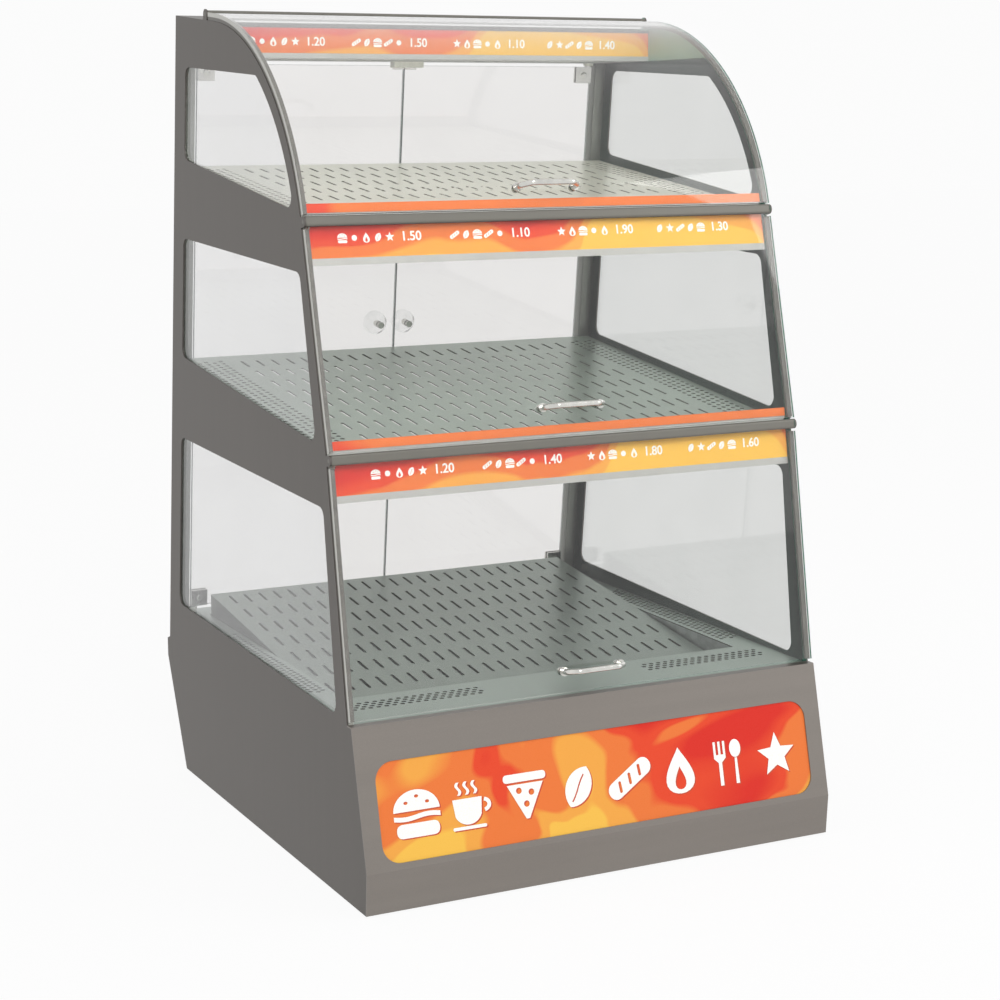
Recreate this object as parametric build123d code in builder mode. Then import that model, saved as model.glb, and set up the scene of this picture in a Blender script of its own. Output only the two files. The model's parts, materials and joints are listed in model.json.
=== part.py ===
from build123d import *
import os
from math import atan2, cos, degrees, hypot, radians, sin, tan

# Heated display case with three tiers, lift-up front glasses and two rear doors.
# Sizes are in millimetres. X is the width, Y runs from the front to the rear, Z is up.
# The side section is drawn in (y, z), with y measured from the foot of the front.

# Overall sizes
case_width = 620.0
side_gauge = 2.0
skin_gauge = 1.5
light_gauge = 1.2

# Base, side section
base_height = 210.0
base_setback = 36.0
kick_height = 51.0
kick_proud = 3.0
panel_lift = 2.0
ledge_depth = 12.0
rear_foot = (664.4, 174.0)
rear_step = 10.2
rear_step_fall = 4.0
rear_face_height = 24.0
bevel_run = 66.6
return_width = 22.0

# Front and roof lines of the side panels
lower_rake = 0.1705
upper_rake = 0.2507
break_height = 508.0
brow_radius = 300.0
roof_height = 998.5
roof_slope = 0.083
rear_rake = 0.1143

# Front glasses and their hinge bars
glass_gauge = 5.0
glass_gap = 4.5
glass_side_inset = 0.5
edge_gap = 0.3
lower_axis_height = 500.5
upper_axis_height = 759.5
roof_axis_back = 108.5
bar_height = 12.0
bar_depth = 9.0
bar_corner = 3.0
bar_end_gap = 0.5
groove_end = 4.0
flap_edge_gap = 1.5
glass_clear_of_bar = 3.0
lower_glass_lift = 3.5
pin_diameter = 5.0
running_fit = 0.05
ear_radius = 6.0
ear_root = 12.0

# Bow handles on the front glasses
handle_span = 76.0
handle_reach = 19.0
handle_bar = 7.0
handle_bend = 6.3
handle_nose = 12.0
handle_stem = 8.0
handle_washer = 11.0
handle_washer_gauge = 2.0
handle_stud = 5.0
handle_nut = 10.0
handle_nut_height = 3.0
handle_nut_seat = 0.08
handle_rise = {"lower": 25.0, "middle": 34.0, "upper": 26.0}

# Shelves and the base deck
shelf_slope = 0.12
pattern_depth = 380.0
lower_shelf_height = 535.6
upper_shelf_height = 788.4
shelf_flange = 15.0
shelf_rear_flange = 20.0
shelf_fit = 0.3
slot_pitch = 21.0
slot_length = 31.0
slot_width = 4.0
shelf_slot_columns = 23
shelf_row_pitch = 54.3
shelf_first_row = 30.0
shelf_front_margin = 52.0
tray_slot_columns = 24
tray_row_pitch = 56.0
tray_rows = 8
tray_pattern_centre = 391.8
hole_diameter = 6.0
shelf_hole_pitch = 12.0
deck_hole_pitch = 10.0
shelf_band_inner = 258.0
shelf_band_pitch = 10.0
deck_band_pitch = 7.6
deck_side_band = (189.0, 498.0)
deck_side_band_inner = 271.0
deck_front_band = (111.0, 281.0)
deck_front_band_rear = 127.0
band_rows = 4

# Tray and the heat well under it
well_half_width = 265.0
well_front = 149.0
well_rear = 617.0
well_depth = 70.0
well_lip = 5.0
tray_clearance = 2.0
tray_skirt_height = 172.0
tray_ledge_width = 14.0
tray_seat_gap = 0.3
fan_position = 455.0
guard_bar = 3.0
air_slot_width = 5.0
air_slot_pitch = 14.0
air_slot_rows = 8

# Shelf front light strips
strip_set = 2.0
strip_depth = 36.0
upstand_rise = 20.0
trim_low = 10.0
trim_gauge = 1.0
film_gauge = 1.5
film_fall = 40.0
lip_fall = 48.0

# Header light box under the roof
header_front = 448.0
header_floor = 945.0
header_lip = 6.0
header_top = 985.0
header_top_lip = 3.0
header_rear_rise = 30.0
cover_front = 476.0
cover_rear_fall = 48.0
diffuser_window = (540.0, 70.0)
diffuser_margin = 8.0
diffuser_gauge = 2.0
diffuser_centre = 500.0

# Fluorescent tubes
tube_diameter = 16.0
tube_half_length = 272.0
tube_rim = 2.0
holder_width = 12.0
holder_pin = 2.4
holder_pin_pitch = 5.4
holder_pin_reach = 8.4

# Side glass and front edge seals
side_glass_gauge = 6.0
header_gap = 0.3
seal_inset = 1.0

# Side windows: margins and sloping edges
window_rear_margin = 38.0
window_low_sill = (12.8, 0.03)
window_low_head = (453.3, 0.028)
window_low_margins = (29.0, 20.0)
window_middle_sill = (8.5, 0.113)
window_middle_head = (712.9, 0.041)
window_middle_margins = (26.0, 19.0)
window_top_sill = (9.5, 0.13)
window_top_head = (926.5, 0.05)
window_top_margin = 16.0
window_corner = 13.0

# Rear posts and doors
post_width = 15.0
post_depth = 20.0
post_set = 3.0
post_wall = 1.5
cut_past = 1.0
door_glass_gauge = 5.0
door_set = 11.5
door_meeting_gap = 2.0
door_bottom_gap = 9.0
door_top_gap = 5.0
pivot_inset = 7.0
clamp_size = 22.0
clamp_plate = 3.0
clamp_edge = 2.0
pivot_pin = 5.0
pivot_pin_reach = 4.5
pivot_collar = 1.5
bush_diameter = 14.0
bush_gap = 0.5
knob_diameter = 32.0
knob_thickness = 10.0
knob_stem = 10.0
knob_stem_diameter = 9.0
knob_bolt = 4.5
knob_bolt_head = 3.0
knob_round = 2.5
knob_height = 592.0
knob_inset = 21.0
catch_size = (42.0, 14.0, 8.0)
strike_size = (16.0, 5.0)
strike_gauge = 1.0
catch_gap = 0.3

# Printed sign in the base front
sign_width = 576.0
sign_height = 114.0
sign_corner = 22.0
sign_centre_height = 113.5
sign_overlap = 6.0
sign_gauge = 2.0

# Controls on the rear bevel
knob_x = -170.0
power_switch_x = -75.0
light_switch_x = -25.0
inlet_x = 150.0
bevel_centre = 80.0
dial_diameter = 40.0
dial_skirt = 4.8
dial_grip_diameter = 30.4
dial_grip_height = 11.2
dial_taper = 4.0
dial_ridge = (4.0, 16.0)
dial_ridge_height = 11.5
dial_gap = 0.6
shaft_diameter = 6.0
shaft_depth = 14.0
shaft_end_gap = 1.2
bush_outer = 10.0
thermostat_body = (36.0, 42.0, 28.0)
switch_length = 24.0
switch_width = 13.0
switch_wall = 2.5
switch_depth = 16.0
switch_flange = 2.0
rocker_tilt = 10.0
rocker_side_gap = 0.4
rocker_end_gap = 2.0
rocker_tip = 5.5
rocker_waist = 3.0
rocker_back = 3.5
rocker_back_share = 0.8
rocker_pin = 3.0
rocker_pin_sink = 1.5
rocker_pin_reach = 2.0
inlet_flange = (48.0, 28.0)
inlet_flange_gauge = 2.0
inlet_corner = 3.0
inlet_body = (28.0, 21.0)
inlet_mouth = (24.0, 16.5)
inlet_depth = 22.0
inlet_floor = 4.0
inlet_pin = (2.0, 4.0)
inlet_pin_length = 16.0
inlet_pin_spots = ((-7.0, -2.0), (0.0, 2.0), (7.0, -2.0))

# Base equipment
fan_size = 119.0
fan_depth = 38.0
fan_bore = 112.0
fan_tip_gap = 1.5
fan_corner = 6.0
fan_bolt_hole = 4.4
fan_bolt_span = 105.0
fan_hub = 42.0
fan_hub_wall = 3.0
fan_end_gap = 1.5
fan_bearing_height = 12.0
fan_bearing_gap = 2.0
fan_blades = 7
fan_blade_gauge = 1.8
fan_blade_pitch = 38.0
fan_blade_chord = 32.0
fan_shaft = 5.0
fan_spider = 5.0
element_diameter = 8.5
element_height = 16.0
element_pass_gap = 56.0
element_first_pass = 60.0
element_reach = 205.0
element_lead_inset = 40.0
element_lead_length = 14.0
element_lead_jog = 8.0
element_lead_bend = 5.0
element_bend = 22.4
ballast_size = (210.0, 62.0, 42.0)
ballast_position = 120.0
ballast_corner = 4.0
foot_diameter = 32.0
foot_inset_x = 50.0
foot_inset_y = 50.0
screw_head = 8.0
screw_head_height = 2.2
screw_shank = 3.6
screw_length = 6.0
screw_head_taper = 25.0
deck_screw_inset = 20.0
deck_screw_back = 45.0
rear_screw_rise = 20.0
rear_screw_inset = 25.0
rear_screw_spread = 100.0

half_width = case_width / 2
inner_half = half_width - side_gauge
glass_half = inner_half - side_glass_gauge


# Plane geometry of the side section
def unit(dy, dz):
    length = hypot(dy, dz)
    return dy / length, dz / length


def along(point, way, run=0.0, out=0.0):
    # The point moved along the way, and out to the left of it
    return (point[0] + run * way[0] - out * way[1], point[1] + run * way[1] + out * way[0])


def meet(p, way_p, q, way_q):
    cross = way_p[0] * way_q[1] - way_p[1] * way_q[0]
    run = ((q[0] - p[0]) * way_q[1] - (q[1] - p[1]) * way_q[0]) / cross
    return along(p, way_p, run)


def folded(points, gauge):
    # Closed outline of a sheet folded along the points, with its thickness on their right
    ways = [unit(b[0] - a[0], b[1] - a[1]) for a, b in zip(points, points[1:])]
    inner = [along(points[0], ways[0], 0, -gauge)]
    for before, after, corner in zip(ways, ways[1:], points[1:-1]):
        inner.append(meet(along(corner, before, 0, -gauge), before, along(corner, after, 0, -gauge), after))
    inner.append(along(points[-1], ways[-1], 0, -gauge))
    return [*points, *reversed(inner)]


lower_way = unit(lower_rake, 1)
upper_way = unit(upper_rake, 1)
roof_way = unit(1, roof_slope)
rear_way = unit(-rear_rake, 1)
shelf_way = unit(1, shelf_slope)

glass_foot = (base_setback + ledge_depth, base_height)
tier_break = (glass_foot[0] + lower_rake * (break_height - base_height), break_height)
rear_top = (rear_foot[0] - rear_rake * (roof_height - rear_foot[1]), roof_height)
brow = meet(tier_break, upper_way, rear_top, roof_way)
upper_angle = degrees(atan2(upper_way[1], upper_way[0]))
roof_angle = degrees(atan2(roof_way[1], roof_way[0]))
brow_tangent = brow_radius * tan(radians((upper_angle - roof_angle) / 2))
brow_start = along(brow, upper_way, -brow_tangent)
brow_end = along(brow, roof_way, brow_tangent)
brow_centre = along(brow_start, upper_way, 0, -brow_radius)

step_top = (rear_foot[0] + rear_step, rear_foot[1] - rear_step_fall)
step_bottom = (step_top[0], step_top[1] - rear_face_height)
bevel_foot = (step_bottom[0] - bevel_run, panel_lift)
bevel_way = unit(step_bottom[0] - bevel_foot[0], step_bottom[1] - bevel_foot[1])

# The origin is under the middle of the case: y is shifted by half the depth
mid_depth = (step_top[0] - kick_proud) / 2

hinge_out = glass_gap + glass_gauge / 2
glass_outer = glass_gap + glass_gauge
bar_end = inner_half - bar_end_gap
deck_under = base_height - skin_gauge


def front_y(z):
    if z < break_height:
        return glass_foot[0] + lower_rake * (z - base_height)
    return tier_break[0] + upper_rake * (z - break_height)


def rear_y(z, inside=0.0):
    return rear_foot[0] - rear_rake * (z - rear_foot[1]) - inside / rear_way[1]


def roof_z(y):
    return roof_height + roof_slope * (y - rear_top[0])


def level_z(height, y, slope=shelf_slope):
    return height + slope * (y - pattern_depth)


def on_front(line_point, way, z):
    return along(line_point, way, (z - line_point[1]) / way[1])


lower_axis = along(on_front(glass_foot, lower_way, lower_axis_height), lower_way, 0, hinge_out)
upper_axis = along(on_front(tier_break, upper_way, upper_axis_height), upper_way, 0, hinge_out)
roof_axis = along(rear_top, roof_way, -roof_axis_back, hinge_out)


def at(x, y, z):
    return (x, y - mid_depth, z)


def side_plane(x=0.0):
    # Local x is the case's y, local y is z, and the normal is +X
    return Plane(origin=at(x, 0, 0), x_dir=(0, 1, 0), z_dir=(1, 0, 0))


def level_plane(z):
    return Plane(origin=at(0, 0, z))


def face_plane(point, normal, x=0.0):
    # Local x is the case's X, and the normal lies in the side section
    return Plane(origin=at(x, *point), x_dir=(1, 0, 0), z_dir=(0, *normal))


def save(piece, name):
    piece.part.label = name
    export_step(piece.part, f"parts/{name}.step")


def save_group(pieces, name):
    # Sheets that are welded into one piece, kept as solids that touch
    group = Compound([solid for piece in pieces for solid in piece.solids()], label=name)
    export_step(group, f"parts/{name}.step")


def across_section(points, half):
    # Solid of a side section run across the width
    with BuildPart() as piece:
        with BuildSketch(side_plane()):
            Polygon(*points, align=None)
        extrude(amount=half, both=True)
    return piece


os.makedirs("parts", exist_ok=True)

deck_rear = rear_y(base_height)
deck_screws = [(side * (half_width - deck_screw_inset), deck_rear - deck_screw_back) for side in (-1, 1)]
rear_screw = (rear_y(rear_foot[1] + rear_screw_rise), rear_foot[1] + rear_screw_rise)
rear_normal = (rear_way[1], -rear_way[0])
rear_screw_x = [
    side * x for side in (-1, 1) for x in (rear_screw_spread, half_width - rear_screw_inset)
]
screw_spots = [(at(*spot, base_height), (0, 0, 1)) for spot in deck_screws]
screw_spots += [(at(x, *rear_screw), (0, *rear_normal)) for x in rear_screw_x]


# Base front panel, folded over the ledge, with the window of the sign
front_face_way = unit(base_setback + kick_proud, base_height - kick_height)
front_points = [
    (0.0, panel_lift),
    (-kick_proud, kick_height),
    (base_setback, base_height),
    glass_foot,
]
front_outline = folded(front_points, skin_gauge)
sign_centre = on_front(front_points[1], front_face_way, sign_centre_height)
front_normal = (-front_face_way[1], front_face_way[0])
sign_plane = face_plane(sign_centre, front_normal)

with BuildPart() as base_front_panel:
    with BuildSketch(side_plane()):
        Polygon(*front_outline, align=None)
    extrude(amount=half_width, both=True)
    with BuildSketch(side_plane()):
        with Locations((skin_gauge / 2, panel_lift)):
            Rectangle(return_width, skin_gauge, align=(Align.MIN, Align.MIN))
    extrude(amount=inner_half, both=True)
    with BuildSketch(sign_plane):
        RectangleRounded(sign_width, sign_height, sign_corner)
    extrude(amount=4 * skin_gauge, both=True, mode=Mode.SUBTRACT)
save(base_front_panel, "base_front_panel")

with BuildPart() as base_sign:
    with BuildSketch(sign_plane.offset(-skin_gauge)):
        Rectangle(sign_width + 2 * sign_overlap, sign_height + 2 * sign_overlap)
    extrude(amount=-sign_gauge)
save(base_sign, "base_sign")

# Base rear panel, with the step, the bevel and the control cut-outs
rear_panel_top = (rear_y(deck_under), deck_under)
rear_points = [
    rear_panel_top,
    rear_foot,
    step_top,
    step_bottom,
    bevel_foot,
    (bevel_foot[0] - return_width, panel_lift),
]
bevel_normal = (bevel_way[1], -bevel_way[0])
bevel_point = on_front(bevel_foot, bevel_way, bevel_centre)


def bevel_plane(x, out=0.0):
    # Outward plane on the bevel, as the operator behind the case sees it
    origin = along(bevel_point, bevel_way, 0, -out)
    return Plane(origin=at(x, *origin), x_dir=(-1, 0, 0), z_dir=(0, *bevel_normal))


switch_outer = (switch_width + 2 * switch_wall, switch_length + 2 * switch_wall)

with BuildPart() as base_rear_panel:
    with BuildSketch(side_plane()):
        Polygon(*folded(rear_points, skin_gauge), align=None)
    extrude(amount=inner_half, both=True)
    with BuildSketch(bevel_plane(knob_x)):
        Circle(bush_outer / 2)
    extrude(amount=-3 * skin_gauge, mode=Mode.SUBTRACT)
    for x in (power_switch_x, light_switch_x):
        with BuildSketch(bevel_plane(x)):
            Rectangle(*switch_outer)
        extrude(amount=-3 * skin_gauge, mode=Mode.SUBTRACT)
    with BuildSketch(bevel_plane(inlet_x)):
        Rectangle(*inlet_body)
    extrude(amount=-3 * skin_gauge, mode=Mode.SUBTRACT)
    with BuildSketch(face_plane(rear_screw, rear_normal)):
        with Locations(*[(x, 0) for x in rear_screw_x]):
            Circle(screw_shank / 2 + running_fit)
    extrude(amount=-3 * skin_gauge, mode=Mode.SUBTRACT)
save(base_rear_panel, "base_rear_panel")

# Base floor pan, on the returns of the front and rear panels, with air slots under the fan
pan_under = panel_lift + skin_gauge
pan_front = 2 * skin_gauge
pan_rear = bevel_foot[0] - 2 * skin_gauge

with BuildPart() as base_floor:
    with BuildSketch(level_plane(pan_under)):
        with Locations((0, (pan_front + pan_rear) / 2)):
            Rectangle(2 * inner_half, pan_rear - pan_front)
        with Locations((0, fan_position)):
            with GridLocations(0, air_slot_pitch, 1, air_slot_rows):
                SlotOverall(fan_bore, air_slot_width, mode=Mode.SUBTRACT)
    extrude(amount=light_gauge)
save(base_floor, "base_floor")

with BuildPart() as feet:
    foot_spots = [
        (side * (half_width - foot_inset_x), y)
        for side in (-1, 1)
        for y in (foot_inset_y, bevel_foot[0] - foot_inset_y)
    ]
    with BuildSketch(level_plane(0)):
        with Locations(*foot_spots):
            Circle(foot_diameter / 2)
    extrude(amount=pan_under)
save(feet, "feet")

# Side panels: one sheet from the base to the roof, with three windows and the hinge ears
base_inner = list(reversed(front_outline[4:]))
kick_way = unit(-kick_proud, kick_height - panel_lift)
side_points = [
    on_front(base_inner[1], kick_way, panel_lift),
    base_inner[1],
    base_inner[2],
    (glass_foot[0], deck_under),
    glass_foot,
    tier_break,
    brow,
    rear_top,
    rear_foot,
    step_top,
    step_bottom,
    bevel_foot,
]


def sloped_window(sill, head, margins):
    # Window corners from a sill and a head line, given as a height at mid depth and a slope
    corners = []
    for line, margin in ((sill, margins[0]), (head, margins[1])):
        y = front_y(line[0]) + margin
        for _ in range(3):
            y = front_y(level_z(line[0], y, line[1])) + margin
        corners.append((y, level_z(line[0], y, line[1])))
    rear_start = rear_y(rear_foot[1], window_rear_margin), rear_foot[1]
    for line in (head, sill):
        mid_point = (pattern_depth, line[0])
        corners.append(meet(mid_point, unit(1, line[1]), rear_start, rear_way))
    return corners


low_window = sloped_window(
    (base_height + window_low_sill[0], window_low_sill[1]), window_low_head, window_low_margins
)
middle_window = sloped_window(
    (lower_shelf_height + window_middle_sill[0], window_middle_sill[1]),
    window_middle_head,
    window_middle_margins,
)
top_window = sloped_window(
    (upper_shelf_height + window_top_sill[0], window_top_sill[1]),
    window_top_head,
    (-window_top_margin, -window_top_margin),
)
hinges = ((lower_axis, lower_way), (upper_axis, upper_way), (roof_axis, roof_way))

for side, name in ((-1, "left"), (1, "right")):
    inner_face = side_plane(-half_width if side < 0 else inner_half)
    with BuildPart() as side_panel:
        with BuildSketch(inner_face) as outline:
            Polygon(*side_points, align=None)
            brow_vertex = outline.vertices().sort_by_distance(Vector(*brow, 0))[0]
            fillet(brow_vertex, brow_radius)
            for axis, way in hinges:
                with Locations(axis):
                    Circle(ear_radius)
                ear = [
                    along(axis, way, run, out)
                    for run, out in (
                        (-ear_radius, 0),
                        (ear_radius, 0),
                        (ear_radius, -ear_root),
                        (-ear_radius, -ear_root),
                    )
                ]
                Polygon(*ear, align=None)
                with Locations(axis):
                    Circle(pin_diameter / 2 + running_fit, mode=Mode.SUBTRACT)
        extrude(amount=side_gauge)
        for window in (low_window, middle_window):
            with BuildSketch(inner_face) as opening:
                Polygon(*window, align=None)
                fillet(opening.vertices(), window_corner)
            extrude(amount=side_gauge, mode=Mode.SUBTRACT)
        with BuildSketch(inner_face) as opening:
            Polygon(*top_window, align=None)
            with Locations(brow_centre):
                Circle(brow_radius - window_top_margin, mode=Mode.INTERSECT)
            fillet(opening.vertices(), window_corner)
        extrude(amount=side_gauge, mode=Mode.SUBTRACT)
    save(side_panel, f"side_panel_{name}")

# Side glass panes, standing on the deck inside the panels
side_glass_top = header_floor - header_gap

for side, name in ((-1, "left"), (1, "right")):
    with BuildPart() as side_glass:
        with BuildSketch(side_plane(-inner_half if side < 0 else glass_half)) as pane:
            Polygon(
                glass_foot,
                tier_break,
                brow,
                (rear_y(roof_height, post_set), roof_z(rear_y(roof_height, post_set))),
                (rear_y(base_height, post_set), base_height),
                align=None,
            )
            brow_vertex = pane.vertices().sort_by_distance(Vector(*brow, 0))[0]
            fillet(brow_vertex, brow_radius)
            with Locations((0, side_glass_top)):
                Rectangle(2 * rear_foot[0], roof_height, align=(Align.CENTER, Align.MIN), mode=Mode.SUBTRACT)
        extrude(amount=side_glass_gauge)
    save(side_glass, f"side_glass_{name}")

# Clear edge seals on the front edges, which the closed glasses rest on
seal_height = glass_gap - edge_gap
seal_stop = ear_radius + glass_clear_of_bar


def run_on(point, line_point, way):
    return (point[0] - line_point[0]) * way[0] + (point[1] - line_point[1]) * way[1]


def straight_strip(line_point, way, start, end, near, far):
    corners = ((start, near), (end, near), (end, far), (start, far))
    return [along(line_point, way, run, out) for run, out in corners]


lower_axis_run = run_on(lower_axis, glass_foot, lower_way)
lower_axis_on_upper = run_on(lower_axis, tier_break, upper_way)
upper_axis_run = run_on(upper_axis, tier_break, upper_way)
roof_axis_run = run_on(roof_axis, brow_end, roof_way)
past_bar = bar_height / 2 + flap_edge_gap


def brow_turn(run_past_axis):
    # Degrees round the brow from its lower end to a run above the upper hinge axis
    run = run_past_axis - run_on(brow_start, upper_axis, upper_way)
    return degrees(run / (brow_radius + hinge_out))


def curved_strip(turn, near, far, end_run):
    # Band that follows the brow and then the roof line, between two distances out
    start = upper_angle + 90 - turn
    size = roof_angle + 90 - start
    with BuildSketch(Plane.XY, mode=Mode.PRIVATE) as strip:
        with BuildLine():
            low = CenterArc(brow_centre, brow_radius + near, start, size)
            high = CenterArc(brow_centre, brow_radius + far, start, size)
            Line(low @ 0, high @ 0)
            Polyline(
                low @ 1,
                along(brow_end, roof_way, end_run, near),
                along(brow_end, roof_way, end_run, far),
                high @ 1,
            )
        make_face()
    return strip.sketch


for side, name in ((-1, "left"), (1, "right")):
    low_x = -half_width + seal_inset if side < 0 else glass_half + seal_inset
    with BuildPart() as edge_seals:
        with BuildSketch(side_plane(low_x)):
            lower_end = lower_axis_run - seal_stop
            Polygon(
                *straight_strip(glass_foot, lower_way, lower_glass_lift, lower_end, 0, seal_height),
                align=None,
            )
            middle_start = lower_axis_on_upper + seal_stop
            middle_end = upper_axis_run - seal_stop
            Polygon(
                *straight_strip(tier_break, upper_way, middle_start, middle_end, 0, seal_height),
                align=None,
            )
            add(curved_strip(brow_turn(seal_stop), 0, seal_height, roof_axis_run - seal_stop))
        extrude(amount=side_glass_gauge)
    save(edge_seals, f"edge_seals_{name}")

# Deck of the base, with the opening of the tray and the bands of small holes
def hole_band(centre, length, row_pitch, along_y):
    # Staggered rows of small holes, cut from the sketch in use
    columns = round(length / deck_hole_pitch)
    for way in (-1, 1):
        shift = (way * deck_hole_pitch / 4, way * row_pitch / 2)
        spot = (centre[0] + shift[along_y], centre[1] + shift[1 - along_y])
        pitches = (2 * row_pitch, deck_hole_pitch) if along_y else (deck_hole_pitch, 2 * row_pitch)
        counts = (band_rows // 2, columns) if along_y else (columns, band_rows // 2)
        with Locations(spot):
            with GridLocations(*pitches, *counts):
                Circle(hole_diameter / 2, mode=Mode.SUBTRACT)


band_reach = (band_rows - 1) * deck_band_pitch / 2 + hole_diameter / 2
side_band_spot = (deck_side_band_inner + band_reach, sum(deck_side_band) / 2)
front_band_spot = (sum(deck_front_band) / 2, deck_front_band_rear - band_reach)
side_band_length = deck_side_band[1] - deck_side_band[0]
front_band_length = deck_front_band[1] - deck_front_band[0]

with BuildPart() as deck:
    with BuildSketch(level_plane(deck_under)):
        with Locations((0, (glass_foot[0] + deck_rear) / 2)):
            Rectangle(2 * inner_half, deck_rear - glass_foot[0])
        with Locations((0, (well_front + well_rear) / 2)):
            Rectangle(2 * well_half_width, well_rear - well_front, mode=Mode.SUBTRACT)
        with Locations(*deck_screws):
            Circle(screw_shank / 2 + running_fit, mode=Mode.SUBTRACT)
        for (spot_x, spot_y), length, along_y in (
            (side_band_spot, side_band_length, True),
            (front_band_spot, front_band_length, False),
        ):
            for side in (-1, 1):
                hole_band((side * spot_x, spot_y), length, deck_band_pitch, along_y)
    extrude(amount=skin_gauge)
save(deck, "deck")

# Heat well under the deck: a floor sheet with the fan mouth, end walls, side walls with the tray's ledges
well_floor = base_height - well_depth
well_centre = (well_front + well_rear) / 2
well_length = well_rear - well_front
well_outer_half = well_half_width + light_gauge
wall_foot = well_floor + light_gauge
ledge_top = tray_skirt_height - tray_seat_gap

with BuildPart() as well_sheet:
    with BuildSketch(level_plane(well_floor)):
        with Locations((0, well_centre)):
            Rectangle(2 * well_outer_half, well_length + 2 * light_gauge)
        with Locations((0, fan_position)):
            Circle(fan_bore / 2, mode=Mode.SUBTRACT)
            Circle(fan_bore / 3)
            Circle(fan_bore / 3 - guard_bar, mode=Mode.SUBTRACT)
            with PolarLocations(0, 3):
                Rectangle(fan_bore, guard_bar)
    extrude(amount=light_gauge)


def well_end(y, out):
    # Wall across the well with its lip under the deck, out being -1 at the front and 1 at the rear
    points = (
        (y, wall_foot),
        (y, deck_under),
        (y + out * well_lip, deck_under),
        (y + out * well_lip, deck_under - light_gauge),
        (y + out * light_gauge, deck_under - light_gauge),
        (y + out * light_gauge, wall_foot),
    )
    return across_section(points, well_outer_half)


well_rear_wall = well_end(well_rear, 1)
with BuildPart() as well_front_wall:
    add(well_end(well_front, -1).part)
    with BuildSketch(face_plane((well_front, well_floor + element_height), (-1, 0))):
        with GridLocations(2 * (element_reach - element_lead_inset), 0, 2, 1):
            Circle(element_diameter / 2 + running_fit)
    extrude(amount=2 * light_gauge, both=True, mode=Mode.SUBTRACT)

side_wall_points = (
    (well_half_width, wall_foot),
    (well_outer_half, wall_foot),
    (well_outer_half, deck_under - light_gauge),
    (well_half_width + well_lip, deck_under - light_gauge),
    (well_half_width + well_lip, deck_under),
    (well_half_width, deck_under),
    (well_half_width, ledge_top),
    (well_half_width - tray_ledge_width, ledge_top),
    (well_half_width - tray_ledge_width, ledge_top - skin_gauge),
    (well_half_width, ledge_top - skin_gauge),
)
with BuildPart() as well_side_walls:
    with BuildSketch(face_plane((well_front, 0), (-1, 0))):
        for side in (-1, 1):
            Polygon(*[(side * x, z) for x, z in side_wall_points], align=None)
    extrude(amount=-well_length)
save_group((well_sheet, well_front_wall, well_rear_wall, well_side_walls), "heat_well")

# Slotted tray: a plate on welded skirts, sunk at the front and raised at the rear, that lifts out
tray_half = well_half_width - tray_clearance
tray_front = well_front + tray_clearance
tray_rear = well_rear - tray_clearance
tray_top_front = (tray_front, level_z(base_height, tray_front))
tray_top_rear = (tray_rear, level_z(base_height, tray_rear))


def slope_plane(height, y=pattern_depth):
    return Plane(
        origin=at(0, y, level_z(height, y)), x_dir=(1, 0, 0), z_dir=(0, -shelf_way[1], shelf_way[0])
    )


def tray_under(y):
    return level_z(base_height, y) - light_gauge


tray_plate_points = (
    (tray_front, tray_under(tray_front)),
    tray_top_front,
    tray_top_rear,
    (tray_rear, tray_under(tray_rear)),
)
with BuildPart() as tray_plate:
    add(across_section(tray_plate_points, tray_half).part)
    with BuildSketch(slope_plane(base_height, tray_pattern_centre)):
        with GridLocations(slot_pitch, tray_row_pitch, tray_slot_columns, tray_rows):
            SlotOverall(slot_length, slot_width, rotation=90)
    extrude(amount=3 * light_gauge, both=True, mode=Mode.SUBTRACT)


def tray_skirt(start, end):
    # Corners of the skirt between two values of y
    return (
        (start, tray_skirt_height),
        (start, tray_under(start)),
        (end, tray_under(end)),
        (end, tray_skirt_height),
    )


tray_front_skirt = across_section(tray_skirt(tray_front, tray_front + light_gauge), tray_half)
tray_rear_skirt = across_section(tray_skirt(tray_rear - light_gauge, tray_rear), tray_half)
with BuildPart() as tray_side_skirts:
    for low_x in (-tray_half, tray_half - light_gauge):
        with BuildSketch(side_plane(low_x)):
            Polygon(*tray_skirt(tray_front + light_gauge, tray_rear - light_gauge), align=None)
        extrude(amount=light_gauge)
save_group((tray_plate, tray_front_skirt, tray_rear_skirt, tray_side_skirts), "tray")

# Shelf front light strips: folded housing, printed film, upstand trim
def strip_lines(line_point, way, axis_height, shelf_height):
    # Points of a strip's side section, on a face set back from the front line
    face = along(line_point, way, 0, -strip_set)
    inner = along(face, way, 0, -skin_gauge)
    under_start = (pattern_depth, shelf_height - skin_gauge / shelf_way[0])
    shelf_corner = meet(face, way, under_start, shelf_way)
    rear_corner = along(shelf_corner, shelf_way, strip_depth)
    housing = [
        along(on_front(face, way, axis_height - film_fall), way, 0, -skin_gauge),
        on_front(inner, way, axis_height - lip_fall + skin_gauge),
        (rear_corner[0], axis_height - lip_fall + skin_gauge),
        (rear_corner[0], rear_corner[1] - skin_gauge / shelf_way[0]),
        meet(face, way, (pattern_depth, shelf_height - 2 * skin_gauge / shelf_way[0]), shelf_way),
        on_front(face, way, axis_height + upstand_rise),
    ]
    film_top = meet(face, way, (pattern_depth, shelf_height - 2 * skin_gauge / shelf_way[0]), shelf_way)
    return face, housing, film_top, rear_corner


tiers = (
    ("lower", glass_foot, lower_way, lower_axis_height, lower_shelf_height),
    ("upper", tier_break, upper_way, upper_axis_height, upper_shelf_height),
)
tube_spots = []
holder_blocks = []

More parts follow.
